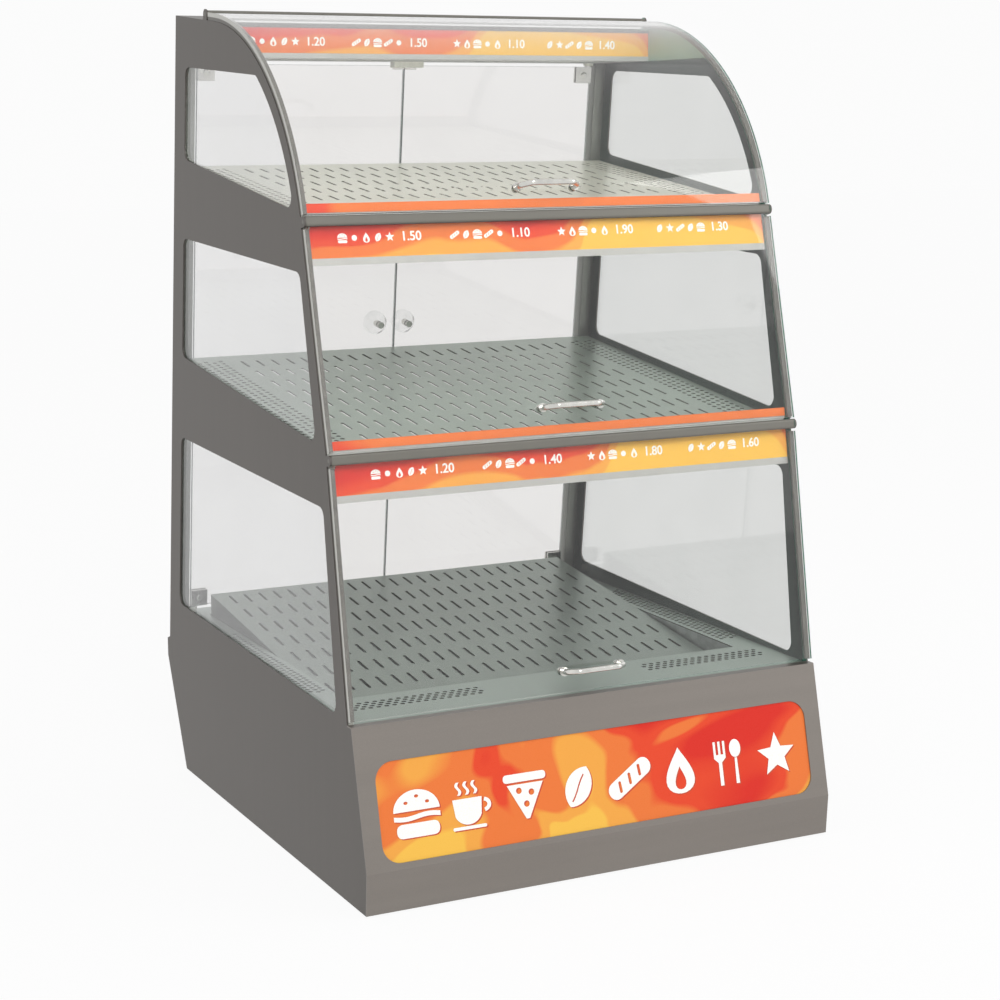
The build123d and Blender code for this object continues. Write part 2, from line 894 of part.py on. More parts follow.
for name, line_point, way, axis_height, shelf_height in tiers:
    face, housing_points, film_top, rear_corner = strip_lines(line_point, way, axis_height, shelf_height)
    strip_housing = across_section(folded(housing_points, skin_gauge), glass_half - shelf_fit)
    save(strip_housing, f"strip_housing_{name}")

    film_low = on_front(face, way, axis_height - film_fall)
    film_run = run_on(film_top, film_low, way)
    film = across_section(
        straight_strip(film_low, way, 0, film_run, 0, -film_gauge), glass_half - shelf_fit
    )
    save(film, f"strip_film_{name}")

    trim_foot = on_front(face, way, axis_height + trim_low)
    trim_run = (upstand_rise - trim_low) / way[1]
    trim = across_section(
        straight_strip(trim_foot, way, 0, trim_run, 0, trim_gauge), glass_half - shelf_fit
    )
    save(trim, f"strip_trim_{name}")

    film_middle = on_front(face, way, axis_height - (film_fall + bar_height / 2) / 2)
    tube_spot = (film_middle[0] + strip_depth / 2, film_middle[1])
    tube_spots.append((f"tube_{name}", tube_spot))
    holder_blocks.append((tube_spot, (rear_corner[0] - tube_spot[0], 0.0)))

# Shelf plates, folded at the rear and the sides, with slots and bands of small holes
for name, line_point, way, axis_height, shelf_height in tiers:
    face, housing_points, film_top, rear_corner = strip_lines(line_point, way, axis_height, shelf_height)
    front_inner = along(face, way, 0, -skin_gauge - shelf_fit)
    top_start = (pattern_depth, shelf_height)
    post_front = (rear_y(rear_foot[1], post_set + post_depth + shelf_fit), rear_foot[1])
    shelf_front_corner = meet(front_inner, way, top_start, shelf_way)
    shelf_rear_corner = meet(post_front, rear_way, top_start, shelf_way)
    plate_points = [
        shelf_front_corner,
        shelf_rear_corner,
        along(shelf_rear_corner, rear_way, -shelf_rear_flange),
    ]
    flange_start = rear_corner[0] + 2 * skin_gauge
    flange_points = [
        (flange_start, level_z(shelf_height, flange_start)),
        shelf_rear_corner,
        along(shelf_rear_corner, rear_way, -shelf_flange),
        (flange_start, level_z(shelf_height, flange_start) - shelf_flange),
    ]
    shelf_half = glass_half - shelf_fit
    pattern_length = shelf_rear_corner[0] - shelf_front_corner[0] - shelf_front_margin
    row_count = int(pattern_length / shelf_row_pitch) + 1
    last_row = shelf_rear_corner[0] - shelf_first_row - slot_length / 2
    pattern_centre = last_row - (row_count - 1) * shelf_row_pitch / 2
    band_columns = int(pattern_length / shelf_hole_pitch)
    band_centre = shelf_rear_corner[0] - shelf_first_row - (band_columns - 1) * shelf_hole_pitch / 2
    with BuildPart() as shelf:
        with BuildSketch(side_plane()):
            Polygon(*folded(plate_points, skin_gauge), align=None)
        extrude(amount=shelf_half, both=True)
        for low_x in (-shelf_half, shelf_half - skin_gauge):
            with BuildSketch(side_plane(low_x)):
                Polygon(*flange_points, align=None)
            extrude(amount=skin_gauge)
        with BuildSketch(slope_plane(shelf_height, pattern_centre)):
            with GridLocations(slot_pitch, shelf_row_pitch, shelf_slot_columns, row_count):
                SlotOverall(slot_length, slot_width, rotation=90)
        extrude(amount=2 * skin_gauge, both=True, mode=Mode.SUBTRACT)
        with BuildSketch(slope_plane(shelf_height, band_centre)):
            for side in (-1, 1):
                for shift, row_shift in ((-0.25, -0.5), (0.25, 0.5)):
                    band_x = side * (shelf_band_inner + 1.5 * shelf_band_pitch)
                    spot = (band_x + row_shift * shelf_band_pitch, shift * shelf_hole_pitch)
                    pitches = (2 * shelf_band_pitch, shelf_hole_pitch)
                    with Locations(spot):
                        with GridLocations(*pitches, band_rows // 2, band_columns):
                            Circle(hole_diameter / 2)
        extrude(amount=2 * skin_gauge, both=True, mode=Mode.SUBTRACT)
    save(shelf, f"shelf_{name}")

# Header light box under the roof: folded floor, printed film, diffuser
header_rear = [
    (rear_y(header_floor + header_rear_rise, light_gauge), header_floor + header_rear_rise),
    (rear_y(header_floor, light_gauge), header_floor),
]
header_points = [*header_rear, (header_front, header_floor), (header_front, header_floor + header_lip)]
header_half = inner_half - running_fit

with BuildPart() as header_housing:
    with BuildSketch(side_plane()):
        Polygon(*folded(header_points, light_gauge), align=None)
    extrude(amount=header_half, both=True)
    with BuildSketch(level_plane(header_floor)):
        with Locations((0, diffuser_centre)):
            Rectangle(*diffuser_window)
    extrude(amount=light_gauge, mode=Mode.SUBTRACT)
save(header_housing, "header_housing")

with BuildPart() as header_diffuser:
    with BuildSketch(level_plane(header_floor + light_gauge)):
        with Locations((0, diffuser_centre)):
            Rectangle(diffuser_window[0] + 2 * diffuser_margin, diffuser_window[1] + 2 * diffuser_margin)
    extrude(amount=diffuser_gauge)
save(header_diffuser, "header_diffuser")

header_film = across_section(
    [
        (header_front + light_gauge, header_floor + light_gauge),
        (header_front + light_gauge, header_top - light_gauge),
        (header_front + light_gauge + film_gauge, header_top - light_gauge),
        (header_front + light_gauge + film_gauge, header_floor + light_gauge),
    ],
    header_half,
)
save(header_film, "header_film")

# Roof cover, folded down over the film's top edge and the rear
cover_points = [
    (header_front, header_top - header_top_lip),
    (header_front, header_top),
    (cover_front, header_top),
    (cover_front, roof_z(cover_front)),
    rear_top,
    (rear_y(roof_height - cover_rear_fall), roof_height - cover_rear_fall),
]
roof_cover = across_section(folded(cover_points, light_gauge), header_half)
save(roof_cover, "roof_cover")

# Fluorescent tubes and their holders
header_tube = (diffuser_centre, header_floor + light_gauge + diffuser_gauge + tube_diameter)
tube_spots.append(("tube_header", header_tube))

for name, spot in tube_spots:
    with BuildPart() as tube:
        with BuildSketch(side_plane()):
            with Locations(spot):
                Circle(tube_diameter / 2)
        extrude(amount=tube_half_length, both=True)
        fillet(tube.edges().filter_by(GeomType.CIRCLE), tube_rim)
        with BuildSketch(side_plane()):
            with Locations(spot):
                with GridLocations(0, holder_pin_pitch, 1, 2):
                    Circle(holder_pin / 2)
        extrude(amount=tube_half_length + holder_pin_reach, both=True)
    save(tube, name)

with BuildPart() as tube_holders:
    for spot, reach in holder_blocks:
        for low_x in (-tube_half_length - holder_width, tube_half_length):
            with BuildSketch(side_plane(low_x)):
                with Locations((spot[0] + reach[0], spot[1])):
                    Rectangle(reach[0] + tube_diameter / 2, tube_diameter, align=(Align.MAX, Align.CENTER))
                with Locations(spot):
                    with GridLocations(0, holder_pin_pitch, 1, 2):
                        Circle(holder_pin / 2 + running_fit, mode=Mode.SUBTRACT)
            extrude(amount=holder_width)
    for low_x in (-tube_half_length - holder_width, tube_half_length):
        with BuildSketch(side_plane(low_x)):
            with Locations((header_tube[0], header_floor + light_gauge + diffuser_gauge)):
                Rectangle(
                    tube_diameter,
                    header_tube[1] + tube_diameter / 2 - header_floor - light_gauge - diffuser_gauge,
                    align=(Align.CENTER, Align.MIN),
                )
            with Locations(header_tube):
                with GridLocations(0, holder_pin_pitch, 1, 2):
                    Circle(holder_pin / 2 + running_fit, mode=Mode.SUBTRACT)
        extrude(amount=holder_width)
save(tube_holders, "tube_holders")

# Rear posts between the deck and the header, hollow
post_inner = glass_half - post_width
post_cut = (base_height - cut_past, header_floor + cut_past)

for side, name in ((-1, "left"), (1, "right")):
    low_x = -glass_half if side < 0 else post_inner
    with BuildPart() as post:
        with BuildSketch(side_plane(low_x)):
            Polygon(
                (rear_y(base_height, post_set + post_depth), base_height),
                (rear_y(header_floor, post_set + post_depth), header_floor),
                (rear_y(header_floor, post_set), header_floor),
                (rear_y(base_height, post_set), base_height),
                align=None,
            )
        extrude(amount=post_width)
        with BuildSketch(side_plane(low_x + post_wall)):
            Polygon(
                (rear_y(post_cut[0], post_set + post_depth - post_wall), post_cut[0]),
                (rear_y(post_cut[1], post_set + post_depth - post_wall), post_cut[1]),
                (rear_y(post_cut[1], post_set + post_wall), post_cut[1]),
                (rear_y(post_cut[0], post_set + post_wall), post_cut[0]),
                align=None,
            )
        extrude(amount=post_width - 2 * post_wall, mode=Mode.SUBTRACT)
    save(post, f"rear_post_{name}")


# Front glasses, each bonded into the groove of its hinge bar
def bar_section(axis, way):
    # Rounded bar with the glass groove on the side that faces down the way
    with BuildSketch(Plane.XY, mode=Mode.PRIVATE) as section:
        with Locations(Location((*axis, 0), (0, 0, degrees(atan2(way[1], way[0]))))):
            RectangleRounded(bar_height, bar_depth, bar_corner)
    return section.sketch


groove_half = bar_end - groove_end
flap_half = half_width - glass_side_inset
tongue_start = bar_height / 2 + glass_clear_of_bar

for name, axis, way in (
    ("lower", lower_axis, lower_way),
    ("middle", upper_axis, upper_way),
    ("upper", roof_axis, roof_way),
):
    with BuildPart() as hinge_bar:
        with BuildSketch(side_plane()):
            add(bar_section(axis, way))
        extrude(amount=bar_end, both=True)
        with BuildSketch(side_plane()):
            Polygon(
                *straight_strip(axis, way, -bar_height, 0, -glass_gauge / 2, glass_gauge / 2), align=None
            )
        extrude(amount=groove_half, both=True, mode=Mode.SUBTRACT)
        for low_x in (-half_width, bar_end - groove_end / 2):
            with BuildSketch(side_plane(low_x)):
                with Locations(axis):
                    Circle(pin_diameter / 2)
            extrude(amount=half_width - bar_end + groove_end / 2)
    save(hinge_bar, f"front_{name}_hinge_bar")


def flap_handle(point, normal, name):
    # Bow handle with washers, studs and nuts, bolted through the glass
    bow_plane = Plane(origin=at(0, *point), x_dir=(1, 0, 0), z_dir=(0, -normal[1], normal[0]))
    face = face_plane(point, normal)
    half_span = handle_span / 2
    with BuildPart() as handle:
        with BuildLine(bow_plane) as bow:
            FilletPolyline(
                (-half_span, 0),
                (-half_span, handle_stem),
                (-half_span + handle_nose, handle_reach),
                (half_span - handle_nose, handle_reach),
                (half_span, handle_stem),
                (half_span, 0),
                radius=handle_bend,
            )
        with BuildSketch(Plane(origin=bow.line @ 0, z_dir=bow.line % 0)):
            Circle(handle_bar / 2)
        sweep(path=bow.line)
        with BuildSketch(face):
            with GridLocations(handle_span, 0, 2, 1):
                Circle(handle_washer / 2)
        extrude(amount=handle_washer_gauge)
        with BuildSketch(face.offset(-glass_gauge - handle_nut_seat)):
            with GridLocations(handle_span, 0, 2, 1):
                Circle(handle_nut / 2)
        extrude(amount=-handle_nut_height)
        with BuildSketch(face):
            with GridLocations(handle_span, 0, 2, 1):
                Circle(handle_stud / 2)
        extrude(amount=-glass_gauge - handle_nut_height)
    save(handle, f"front_{name}_handle")


def stud_holes(point, normal):
    # Cutters for the holes of the handle studs through the glass
    with BuildPart(mode=Mode.PRIVATE) as cutters:
        with BuildSketch(face_plane(point, normal)):
            with GridLocations(handle_span, 0, 2, 1):
                Circle(handle_stud / 2 + running_fit)
        extrude(amount=2 * glass_gauge, both=True)
    return cutters.part


for name, line_point, way, axis, start in (
    ("lower", glass_foot, lower_way, lower_axis, lower_glass_lift),
    ("middle", tier_break, upper_way, upper_axis, lower_axis_on_upper + past_bar),
):
    axis_run = run_on(axis, line_point, way)
    normal = (-way[1], way[0])
    grip = along(line_point, way, start + handle_rise[name], glass_outer)
    with BuildPart() as glass:
        with BuildSketch(side_plane()):
            Polygon(
                *straight_strip(line_point, way, start, axis_run - tongue_start, glass_gap, glass_outer),
                align=None,
            )
        extrude(amount=flap_half, both=True)
        with BuildSketch(side_plane()):
            Polygon(
                *straight_strip(
                    line_point, way, axis_run - tongue_start, axis_run, glass_gap, glass_outer
                ),
                align=None,
            )
        extrude(amount=groove_half, both=True)
        add(stud_holes(grip, normal), mode=Mode.SUBTRACT)
    save(glass, f"front_{name}_glass")
    flap_handle(grip, normal, name)

upper_start = brow_turn(past_bar)
grip_angle = radians(upper_angle + 90 - upper_start) - handle_rise["upper"] / (brow_radius + glass_outer)
grip_normal = (cos(grip_angle), sin(grip_angle))
upper_grip = (
    brow_centre[0] + (brow_radius + glass_outer) * grip_normal[0],
    brow_centre[1] + (brow_radius + glass_outer) * grip_normal[1],
)

with BuildPart() as front_upper_glass:
    with BuildSketch(side_plane()):
        add(curved_strip(upper_start, glass_gap, glass_outer, roof_axis_run - tongue_start))
    extrude(amount=flap_half, both=True)
    with BuildSketch(side_plane()):
        Polygon(
            *straight_strip(
                brow_end, roof_way, roof_axis_run - tongue_start, roof_axis_run, glass_gap, glass_outer
            ),
            align=None,
        )
    extrude(amount=groove_half, both=True)
    add(stud_holes(upper_grip, grip_normal), mode=Mode.SUBTRACT)
save(front_upper_glass, "front_upper_glass")
flap_handle(upper_grip, grip_normal, "upper")

# Rear doors: the glass stands in a plane that leans like the rear edges of the panels
door_foot_z = base_height + door_bottom_gap
door_foot = (rear_y(door_foot_z, door_set + door_glass_gauge / 2), door_foot_z)
door_length = (header_floor - door_top_gap - door_foot_z) / rear_way[1]
door_front = (-rear_way[1], rear_way[0])
door_middle = face_plane(door_foot, door_front)
door_inner_x = door_meeting_gap / 2
door_outer_x = post_inner - pivot_inset + clamp_edge
pivot_x = post_inner - pivot_inset
knob_run = (knob_height - door_foot_z) / rear_way[1]
half_door_glass = door_glass_gauge / 2
clamp_half = half_door_glass + clamp_plate

for side, name in ((-1, "left"), (1, "right")):
    with BuildPart() as door_glass:
        with BuildSketch(door_middle):
            with Locations((side * (door_inner_x + door_outer_x) / 2, door_length / 2)):
                Rectangle(door_outer_x - door_inner_x, door_length)
            with Locations((side * knob_inset, knob_run)):
                Circle(knob_bolt / 2 + running_fit, mode=Mode.SUBTRACT)
        extrude(amount=half_door_glass, both=True)
    save(door_glass, f"door_{name}_glass")

    with BuildPart() as door_metal:
        for v in (clamp_size / 2, door_length - clamp_size / 2):
            with BuildSketch(door_middle):
                with Locations((side * (door_outer_x - clamp_size / 2), v)):
                    Rectangle(clamp_size, clamp_size)
            extrude(amount=clamp_half, both=True)
        with BuildSketch(door_middle):
            with Locations((side * (door_inner_x + door_outer_x) / 2, door_length / 2)):
                Rectangle(door_outer_x - door_inner_x, door_length)
        extrude(amount=half_door_glass, both=True, mode=Mode.SUBTRACT)
        for v, way_out in ((0.0, -1), (door_length, 1)):
            pivot_plane = Plane(
                origin=at(side * pivot_x, *along(door_foot, rear_way, v)),
                x_dir=(1, 0, 0),
                z_dir=(0, way_out * rear_way[0], way_out * rear_way[1]),
            )
            with BuildSketch(pivot_plane):
                Circle(clamp_half)
            extrude(amount=pivot_collar)
            with BuildSketch(pivot_plane):
                Circle(pivot_pin / 2)
            extrude(amount=pivot_pin_reach)
        with BuildSketch(door_middle.offset(half_door_glass)):
            with Locations((side * (door_inner_x + strike_size[0] / 2), door_length - strike_size[1] / 2)):
                Rectangle(*strike_size)
        extrude(amount=strike_gauge)
        with BuildSketch(door_middle.offset(half_door_glass)):
            with Locations((side * knob_inset, knob_run)):
                Circle(knob_stem_diameter / 2)
        extrude(amount=knob_bolt_head)
        with BuildSketch(door_middle.offset(half_door_glass)):
            with Locations((side * knob_inset, knob_run)):
                Circle(knob_bolt / 2)
        extrude(amount=-door_glass_gauge)
        with BuildSketch(door_middle.offset(-half_door_glass)):
            with Locations((side * knob_inset, knob_run)):
                Circle(knob_stem_diameter / 2)
        extrude(amount=-knob_stem)
    save(door_metal, f"door_{name}_metal")

    with BuildPart() as door_knob:
        with BuildSketch(door_middle.offset(-half_door_glass - knob_stem)):
            with Locations((side * knob_inset, knob_run)):
                Circle(knob_diameter / 2)
        extrude(amount=-knob_thickness)
        fillet(door_knob.edges().filter_by(GeomType.CIRCLE), knob_round)
    save(door_knob, f"door_{name}_knob")

# Pivot bushes of the doors, on the deck and under the header
with BuildPart() as pivot_bushes:
    for side in (-1, 1):
        for v, way_out in ((0.0, -1), (door_length, 1)):
            start = along(door_foot, rear_way, v + way_out * (pivot_collar + bush_gap))
            bush_plane = Plane(
                origin=at(side * pivot_x, *start),
                x_dir=(1, 0, 0),
                z_dir=(0, way_out * rear_way[0], way_out * rear_way[1]),
            )
            with BuildSketch(bush_plane):
                Circle(bush_diameter / 2)
                Circle(pivot_pin / 2 + running_fit, mode=Mode.SUBTRACT)
            extrude(amount=4 * door_bottom_gap)
    with BuildSketch(level_plane(base_height)):
        with Locations((0, mid_depth)):
            Rectangle(2 * case_width, 4 * mid_depth)
    extrude(amount=header_floor - base_height, mode=Mode.INTERSECT)
save(pivot_bushes, "pivot_bushes")

# Magnetic catch under the header, in front of the doors' top edges
with BuildPart() as magnet_catch:
    with BuildSketch(door_middle.offset(half_door_glass + strike_gauge + catch_gap)):
        with Locations((0, door_length + door_top_gap)):
            Rectangle(catch_size[0], 2 * (catch_size[2] + door_top_gap))
    extrude(amount=catch_size[1])
    with BuildSketch(level_plane(header_floor - catch_size[2])):
        with Locations((0, mid_depth)):
            Rectangle(case_width, 4 * mid_depth)
    extrude(amount=catch_size[2], mode=Mode.INTERSECT)
save(magnet_catch, "magnet_catch")

# Thermostat behind the bevel and its dial
with BuildPart() as thermostat:
    with BuildSketch(bevel_plane(knob_x, -skin_gauge)):
        Rectangle(*thermostat_body[:2])
    extrude(amount=-thermostat_body[2])
    with BuildSketch(bevel_plane(knob_x, -skin_gauge)):
        Circle(bush_outer / 2)
    extrude(amount=2 * skin_gauge)
    with BuildSketch(bevel_plane(knob_x, skin_gauge)):
        Circle(shaft_diameter / 2 + running_fit)
    extrude(amount=-shaft_depth, mode=Mode.SUBTRACT)
save(thermostat, "thermostat")

dial_under = bevel_plane(knob_x, skin_gauge + dial_gap)
dial_skirt_top = bevel_plane(knob_x, skin_gauge + dial_gap + dial_skirt)

with BuildPart() as thermostat_dial:
    with BuildSketch(dial_under):
        Circle(dial_diameter / 2)
    extrude(amount=dial_skirt)
    with BuildSketch(dial_skirt_top):
        Circle(dial_grip_diameter / 2)
    extrude(amount=dial_grip_height, taper=dial_taper)
    with BuildSketch(dial_skirt_top):
        with Locations((0, dial_ridge[1] / 2)):
            Rectangle(*dial_ridge)
    extrude(amount=dial_ridge_height)
    with BuildSketch(dial_under):
        Circle(shaft_diameter / 2)
    extrude(amount=shaft_end_gap - shaft_depth)
save(thermostat_dial, "thermostat_dial")

# Rocker switches: frames in the bevel, rockers on side pins
rocker_half_length = switch_length / 2 - rocker_end_gap
rocker_half_width = switch_width / 2 - rocker_side_gap
rocker_axis = along(bevel_point, bevel_way, 0, rocker_pin_sink)

with BuildPart() as switch_frames:
    for x in (power_switch_x, light_switch_x):
        with BuildSketch(bevel_plane(x)):
            Rectangle(switch_outer[0] + 2 * switch_flange, switch_outer[1] + 2 * switch_flange)
        extrude(amount=switch_flange)
        with BuildSketch(bevel_plane(x)):
            Rectangle(*switch_outer)
        extrude(amount=-switch_depth)
        with BuildSketch(bevel_plane(x, switch_flange)):
            Rectangle(switch_width, switch_length)
        extrude(amount=-switch_depth, mode=Mode.SUBTRACT)
        with BuildSketch(side_plane(x - switch_outer[0] / 2)):
            with Locations(rocker_axis):
                Circle(rocker_pin / 2 + running_fit)
        extrude(amount=switch_outer[0], mode=Mode.SUBTRACT)
save(switch_frames, "switch_frames")

rocker_turn = atan2(bevel_way[1], bevel_way[0]) + radians(rocker_tilt)
rocker_way = (cos(rocker_turn), sin(rocker_turn))
rocker_back_end = rocker_half_length * rocker_back_share
rocker_profile = [
    along(rocker_axis, rocker_way, run, out)
    for run, out in (
        (-rocker_half_length, -rocker_tip),
        (0, -rocker_waist),
        (rocker_half_length, -rocker_tip),
        (rocker_back_end, rocker_back),
        (-rocker_back_end, rocker_back),
    )
]

for x, name in ((power_switch_x, "power"), (light_switch_x, "light")):
    with BuildPart() as rocker:
        with BuildSketch(side_plane(x)):
            Polygon(*rocker_profile, align=None)
        extrude(amount=rocker_half_width, both=True)
        with BuildSketch(side_plane(x)):
            with Locations(rocker_axis):
                Circle(rocker_pin / 2)
        extrude(amount=switch_width / 2 + rocker_pin_reach, both=True)
    save(rocker, f"rocker_{name}")

# Power inlet with a flange, a socket mouth and three pins
with BuildPart() as power_inlet:
    with BuildSketch(bevel_plane(inlet_x)):
        RectangleRounded(*inlet_flange, inlet_corner)
    extrude(amount=inlet_flange_gauge)
    with BuildSketch(bevel_plane(inlet_x)):
        Rectangle(*inlet_body)
    extrude(amount=-inlet_depth)
    with BuildSketch(bevel_plane(inlet_x, inlet_flange_gauge)):
        RectangleRounded(*inlet_mouth, inlet_corner)
    extrude(amount=inlet_floor - inlet_depth, mode=Mode.SUBTRACT)
    with BuildSketch(bevel_plane(inlet_x, inlet_floor - inlet_depth)):
        with Locations(*inlet_pin_spots):
            Rectangle(*inlet_pin)
    extrude(amount=inlet_pin_length)
save(power_inlet, "power_inlet")

# Fan under the well: square frame with a spider, and a rotor on its shaft
fan_top = well_floor
fan_bottom = fan_top - fan_depth

with BuildPart() as fan_frame:
    with BuildSketch(level_plane(fan_bottom)):
        with Locations((0, fan_position)):
            RectangleRounded(fan_size, fan_size, fan_corner)
            Circle(fan_bore / 2, mode=Mode.SUBTRACT)
            with GridLocations(fan_bolt_span, fan_bolt_span, 2, 2):
                Circle(fan_bolt_hole / 2, mode=Mode.SUBTRACT)
    extrude(amount=fan_depth)
    with BuildSketch(level_plane(fan_bottom)):
        with Locations((0, fan_position)):
            with PolarLocations(0, 2):
                Rectangle(fan_bore + fan_spider, fan_spider)
            Circle(fan_hub / 2)
    extrude(amount=fan_spider)
    with BuildSketch(level_plane(fan_bottom)):
        with Locations((0, fan_position)):
            Circle(fan_shaft)
    extrude(amount=fan_bearing_height)
    with BuildSketch(level_plane(fan_bottom)):
        with Locations((0, fan_position)):
            Circle(fan_shaft / 2 + running_fit)
    extrude(amount=fan_bearing_height, mode=Mode.SUBTRACT)
save(fan_frame, "fan_frame")

rotor_floor = fan_bottom + fan_spider + fan_end_gap
rotor_height = fan_top - fan_end_gap - rotor_floor
blade_inner = fan_hub / 2 - fan_hub_wall
blade_outer = fan_bore / 2 - fan_tip_gap

with BuildPart() as fan_rotor:
    with BuildSketch(level_plane(rotor_floor)):
        with Locations((0, fan_position)):
            Circle(fan_hub / 2)
    extrude(amount=rotor_height)
    with BuildSketch(level_plane(rotor_floor)):
        with Locations((0, fan_position)):
            Circle(fan_shaft + fan_bearing_gap)
    extrude(amount=fan_bearing_height, mode=Mode.SUBTRACT)
    for blade in range(fan_blades):
        turn = 360 * blade / fan_blades
        direction = (cos(radians(turn)), sin(radians(turn)))
        side_way = (-direction[1], direction[0])
        root = at(blade_inner * direction[0], fan_position + blade_inner * direction[1], rotor_floor)
        blade_plane = Plane(
            origin=(root[0], root[1], rotor_floor + rotor_height / 2),
            x_dir=(*side_way, 0),
            z_dir=(*direction, 0),
        )
        with BuildSketch(blade_plane):
            Rectangle(fan_blade_chord, fan_blade_gauge, rotation=fan_blade_pitch)
        extrude(amount=blade_outer - blade_inner)
    with BuildSketch(level_plane(rotor_floor)):
        with Locations((0, fan_position)):
            Circle(blade_outer)
    extrude(amount=rotor_height, mode=Mode.INTERSECT)
    with BuildSketch(level_plane(fan_bottom)):
        with Locations((0, fan_position)):
            Circle(fan_shaft / 2)
    extrude(amount=fan_depth - 2 * fan_end_gap)
save(fan_rotor, "fan_rotor")

# Tubular heating element, four passes over the well floor, its ends through the front wall
element_z = well_floor + element_height
pass_y = [well_front + element_first_pass + index * element_pass_gap for index in range(4)]
lead_end = well_front - element_lead_length
lead_x = element_reach - element_lead_inset
element_points = [
    (-lead_x, lead_end),
    (-lead_x, pass_y[0] - element_lead_jog),
    (-element_reach, pass_y[0]),
    (-element_reach, pass_y[3]),
    (-element_reach + element_pass_gap, pass_y[3]),
    (-element_reach + element_pass_gap, pass_y[0]),
    (element_reach - element_pass_gap, pass_y[0]),
    (element_reach - element_pass_gap, pass_y[3]),
    (element_reach, pass_y[3]),
    (element_reach, pass_y[0]),
    (lead_x, pass_y[0] - element_lead_jog),
    (lead_x, lead_end),
]
element_bends = [*[element_lead_bend] * 2, *[element_bend] * 6, *[element_lead_bend] * 2]

with BuildPart() as heater_element:
    with BuildLine(level_plane(element_z)) as tube_path:
        FilletPolyline(*element_points, radius=element_bends)
    with BuildSketch(Plane(origin=tube_path.line @ 0, z_dir=tube_path.line % 0)):
        Circle(element_diameter / 2)
    sweep(path=tube_path.line)
    with BuildSketch(level_plane(well_floor + light_gauge)):
        for y in (pass_y[1], pass_y[2]):
            with Locations((-element_reach, y), (element_reach, y)):
                Rectangle(element_diameter, element_diameter)
    extrude(amount=element_height - light_gauge)
save(heater_element, "heater_element")

# Ballast box for the lamps, on the base floor
with BuildPart() as ballast_box:
    with BuildSketch(level_plane(pan_under + light_gauge)):
        with Locations((0, ballast_position)):
            Rectangle(*ballast_size[:2])
    extrude(amount=ballast_size[2])
    chamfer(ballast_box.edges().filter_by(Axis.Z), ballast_corner)
save(ballast_box, "ballast_box")

# Screws of the deck and of the rear panel
with BuildPart() as screws:
    for spot, normal in screw_spots:
        with BuildSketch(Plane(origin=spot, z_dir=normal)):
            Circle(screw_head / 2)
        extrude(amount=screw_head_height, taper=screw_head_taper)
        with BuildSketch(Plane(origin=spot, z_dir=normal)):
            Circle(screw_shank / 2)
        extrude(amount=-screw_length)
save(screws, "screws")
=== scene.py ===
import json
import math
import bmesh
import bpy
from mathutils import Matrix, Vector

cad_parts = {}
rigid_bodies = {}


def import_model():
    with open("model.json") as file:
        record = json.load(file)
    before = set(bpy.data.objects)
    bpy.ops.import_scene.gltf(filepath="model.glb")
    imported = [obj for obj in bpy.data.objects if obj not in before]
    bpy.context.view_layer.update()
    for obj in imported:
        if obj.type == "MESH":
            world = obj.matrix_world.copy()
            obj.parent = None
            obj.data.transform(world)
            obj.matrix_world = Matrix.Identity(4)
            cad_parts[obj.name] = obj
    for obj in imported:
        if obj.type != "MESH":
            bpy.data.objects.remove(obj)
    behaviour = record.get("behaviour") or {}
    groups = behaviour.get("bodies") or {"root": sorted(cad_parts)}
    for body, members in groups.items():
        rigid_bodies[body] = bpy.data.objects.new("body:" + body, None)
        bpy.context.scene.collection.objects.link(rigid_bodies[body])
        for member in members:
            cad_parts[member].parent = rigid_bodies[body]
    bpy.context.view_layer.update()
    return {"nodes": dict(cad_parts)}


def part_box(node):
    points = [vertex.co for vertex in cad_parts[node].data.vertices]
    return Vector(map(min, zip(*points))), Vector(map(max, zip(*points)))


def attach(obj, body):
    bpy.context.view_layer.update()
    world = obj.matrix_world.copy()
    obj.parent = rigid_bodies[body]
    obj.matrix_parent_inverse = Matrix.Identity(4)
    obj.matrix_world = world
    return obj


# Heated display case: finishes and printed parts on the fixed frame, in metres.
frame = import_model()
nodes = frame["nodes"]
print("frame loaded:", len(nodes), "nodes")


# Small helpers for node trees
def feed(tree, node, inputs):
    # a socket is linked, any other value is set
    for key, value in inputs.items():
        if isinstance(value, bpy.types.NodeSocket):
            tree.links.new(value, node.inputs[key])
        else:
            node.inputs[key].default_value = value


def addNode(tree, kind, inputs=None, **settings):
    made = tree.nodes.new(kind)
    for key, value in settings.items():
        setattr(made, key, value)
    feed(tree, made, inputs or {})
    return made


def rgba(red, green, blue):
    return (red, green, blue, 1.0)


def fromPhoto(red, green, blue):
    # screen values 0 to 255 to linear colour
    return rgba(*[c / 3294.6 if c <= 10 else ((c / 255 + 0.055) / 1.055) ** 2.4 for c in (red, green, blue)])


def toned(colour, share):
    # the same colour, darker or lighter
    return rgba(*[min(1.0, level * share) for level in colour[:3]])


def startMaterial(name):
    material = bpy.data.materials.new(name)
    material.use_nodes = True
    tree = material.node_tree
    coords = addNode(tree, "ShaderNodeTexCoord").outputs["Object"]
    return material, tree, tree.nodes["Principled BSDF"], coords


def surfaceNormal(tree):
    return addNode(tree, "ShaderNodeTexCoord").outputs["Normal"]


def axes(tree, vector):
    return addNode(tree, "ShaderNodeSeparateXYZ", {"Vector": vector}).outputs


def noiseOn(tree, coords, scale, detail=2.0, distortion=0.0, stretch=None):
    if stretch:
        coords = addNode(tree, "ShaderNodeMapping", {"Vector": coords, "Scale": stretch}).outputs["Vector"]
    values = {"Vector": coords, "Scale": scale, "Detail": detail, "Distortion": distortion}
    return addNode(tree, "ShaderNodeTexNoise", values).outputs["Fac"]


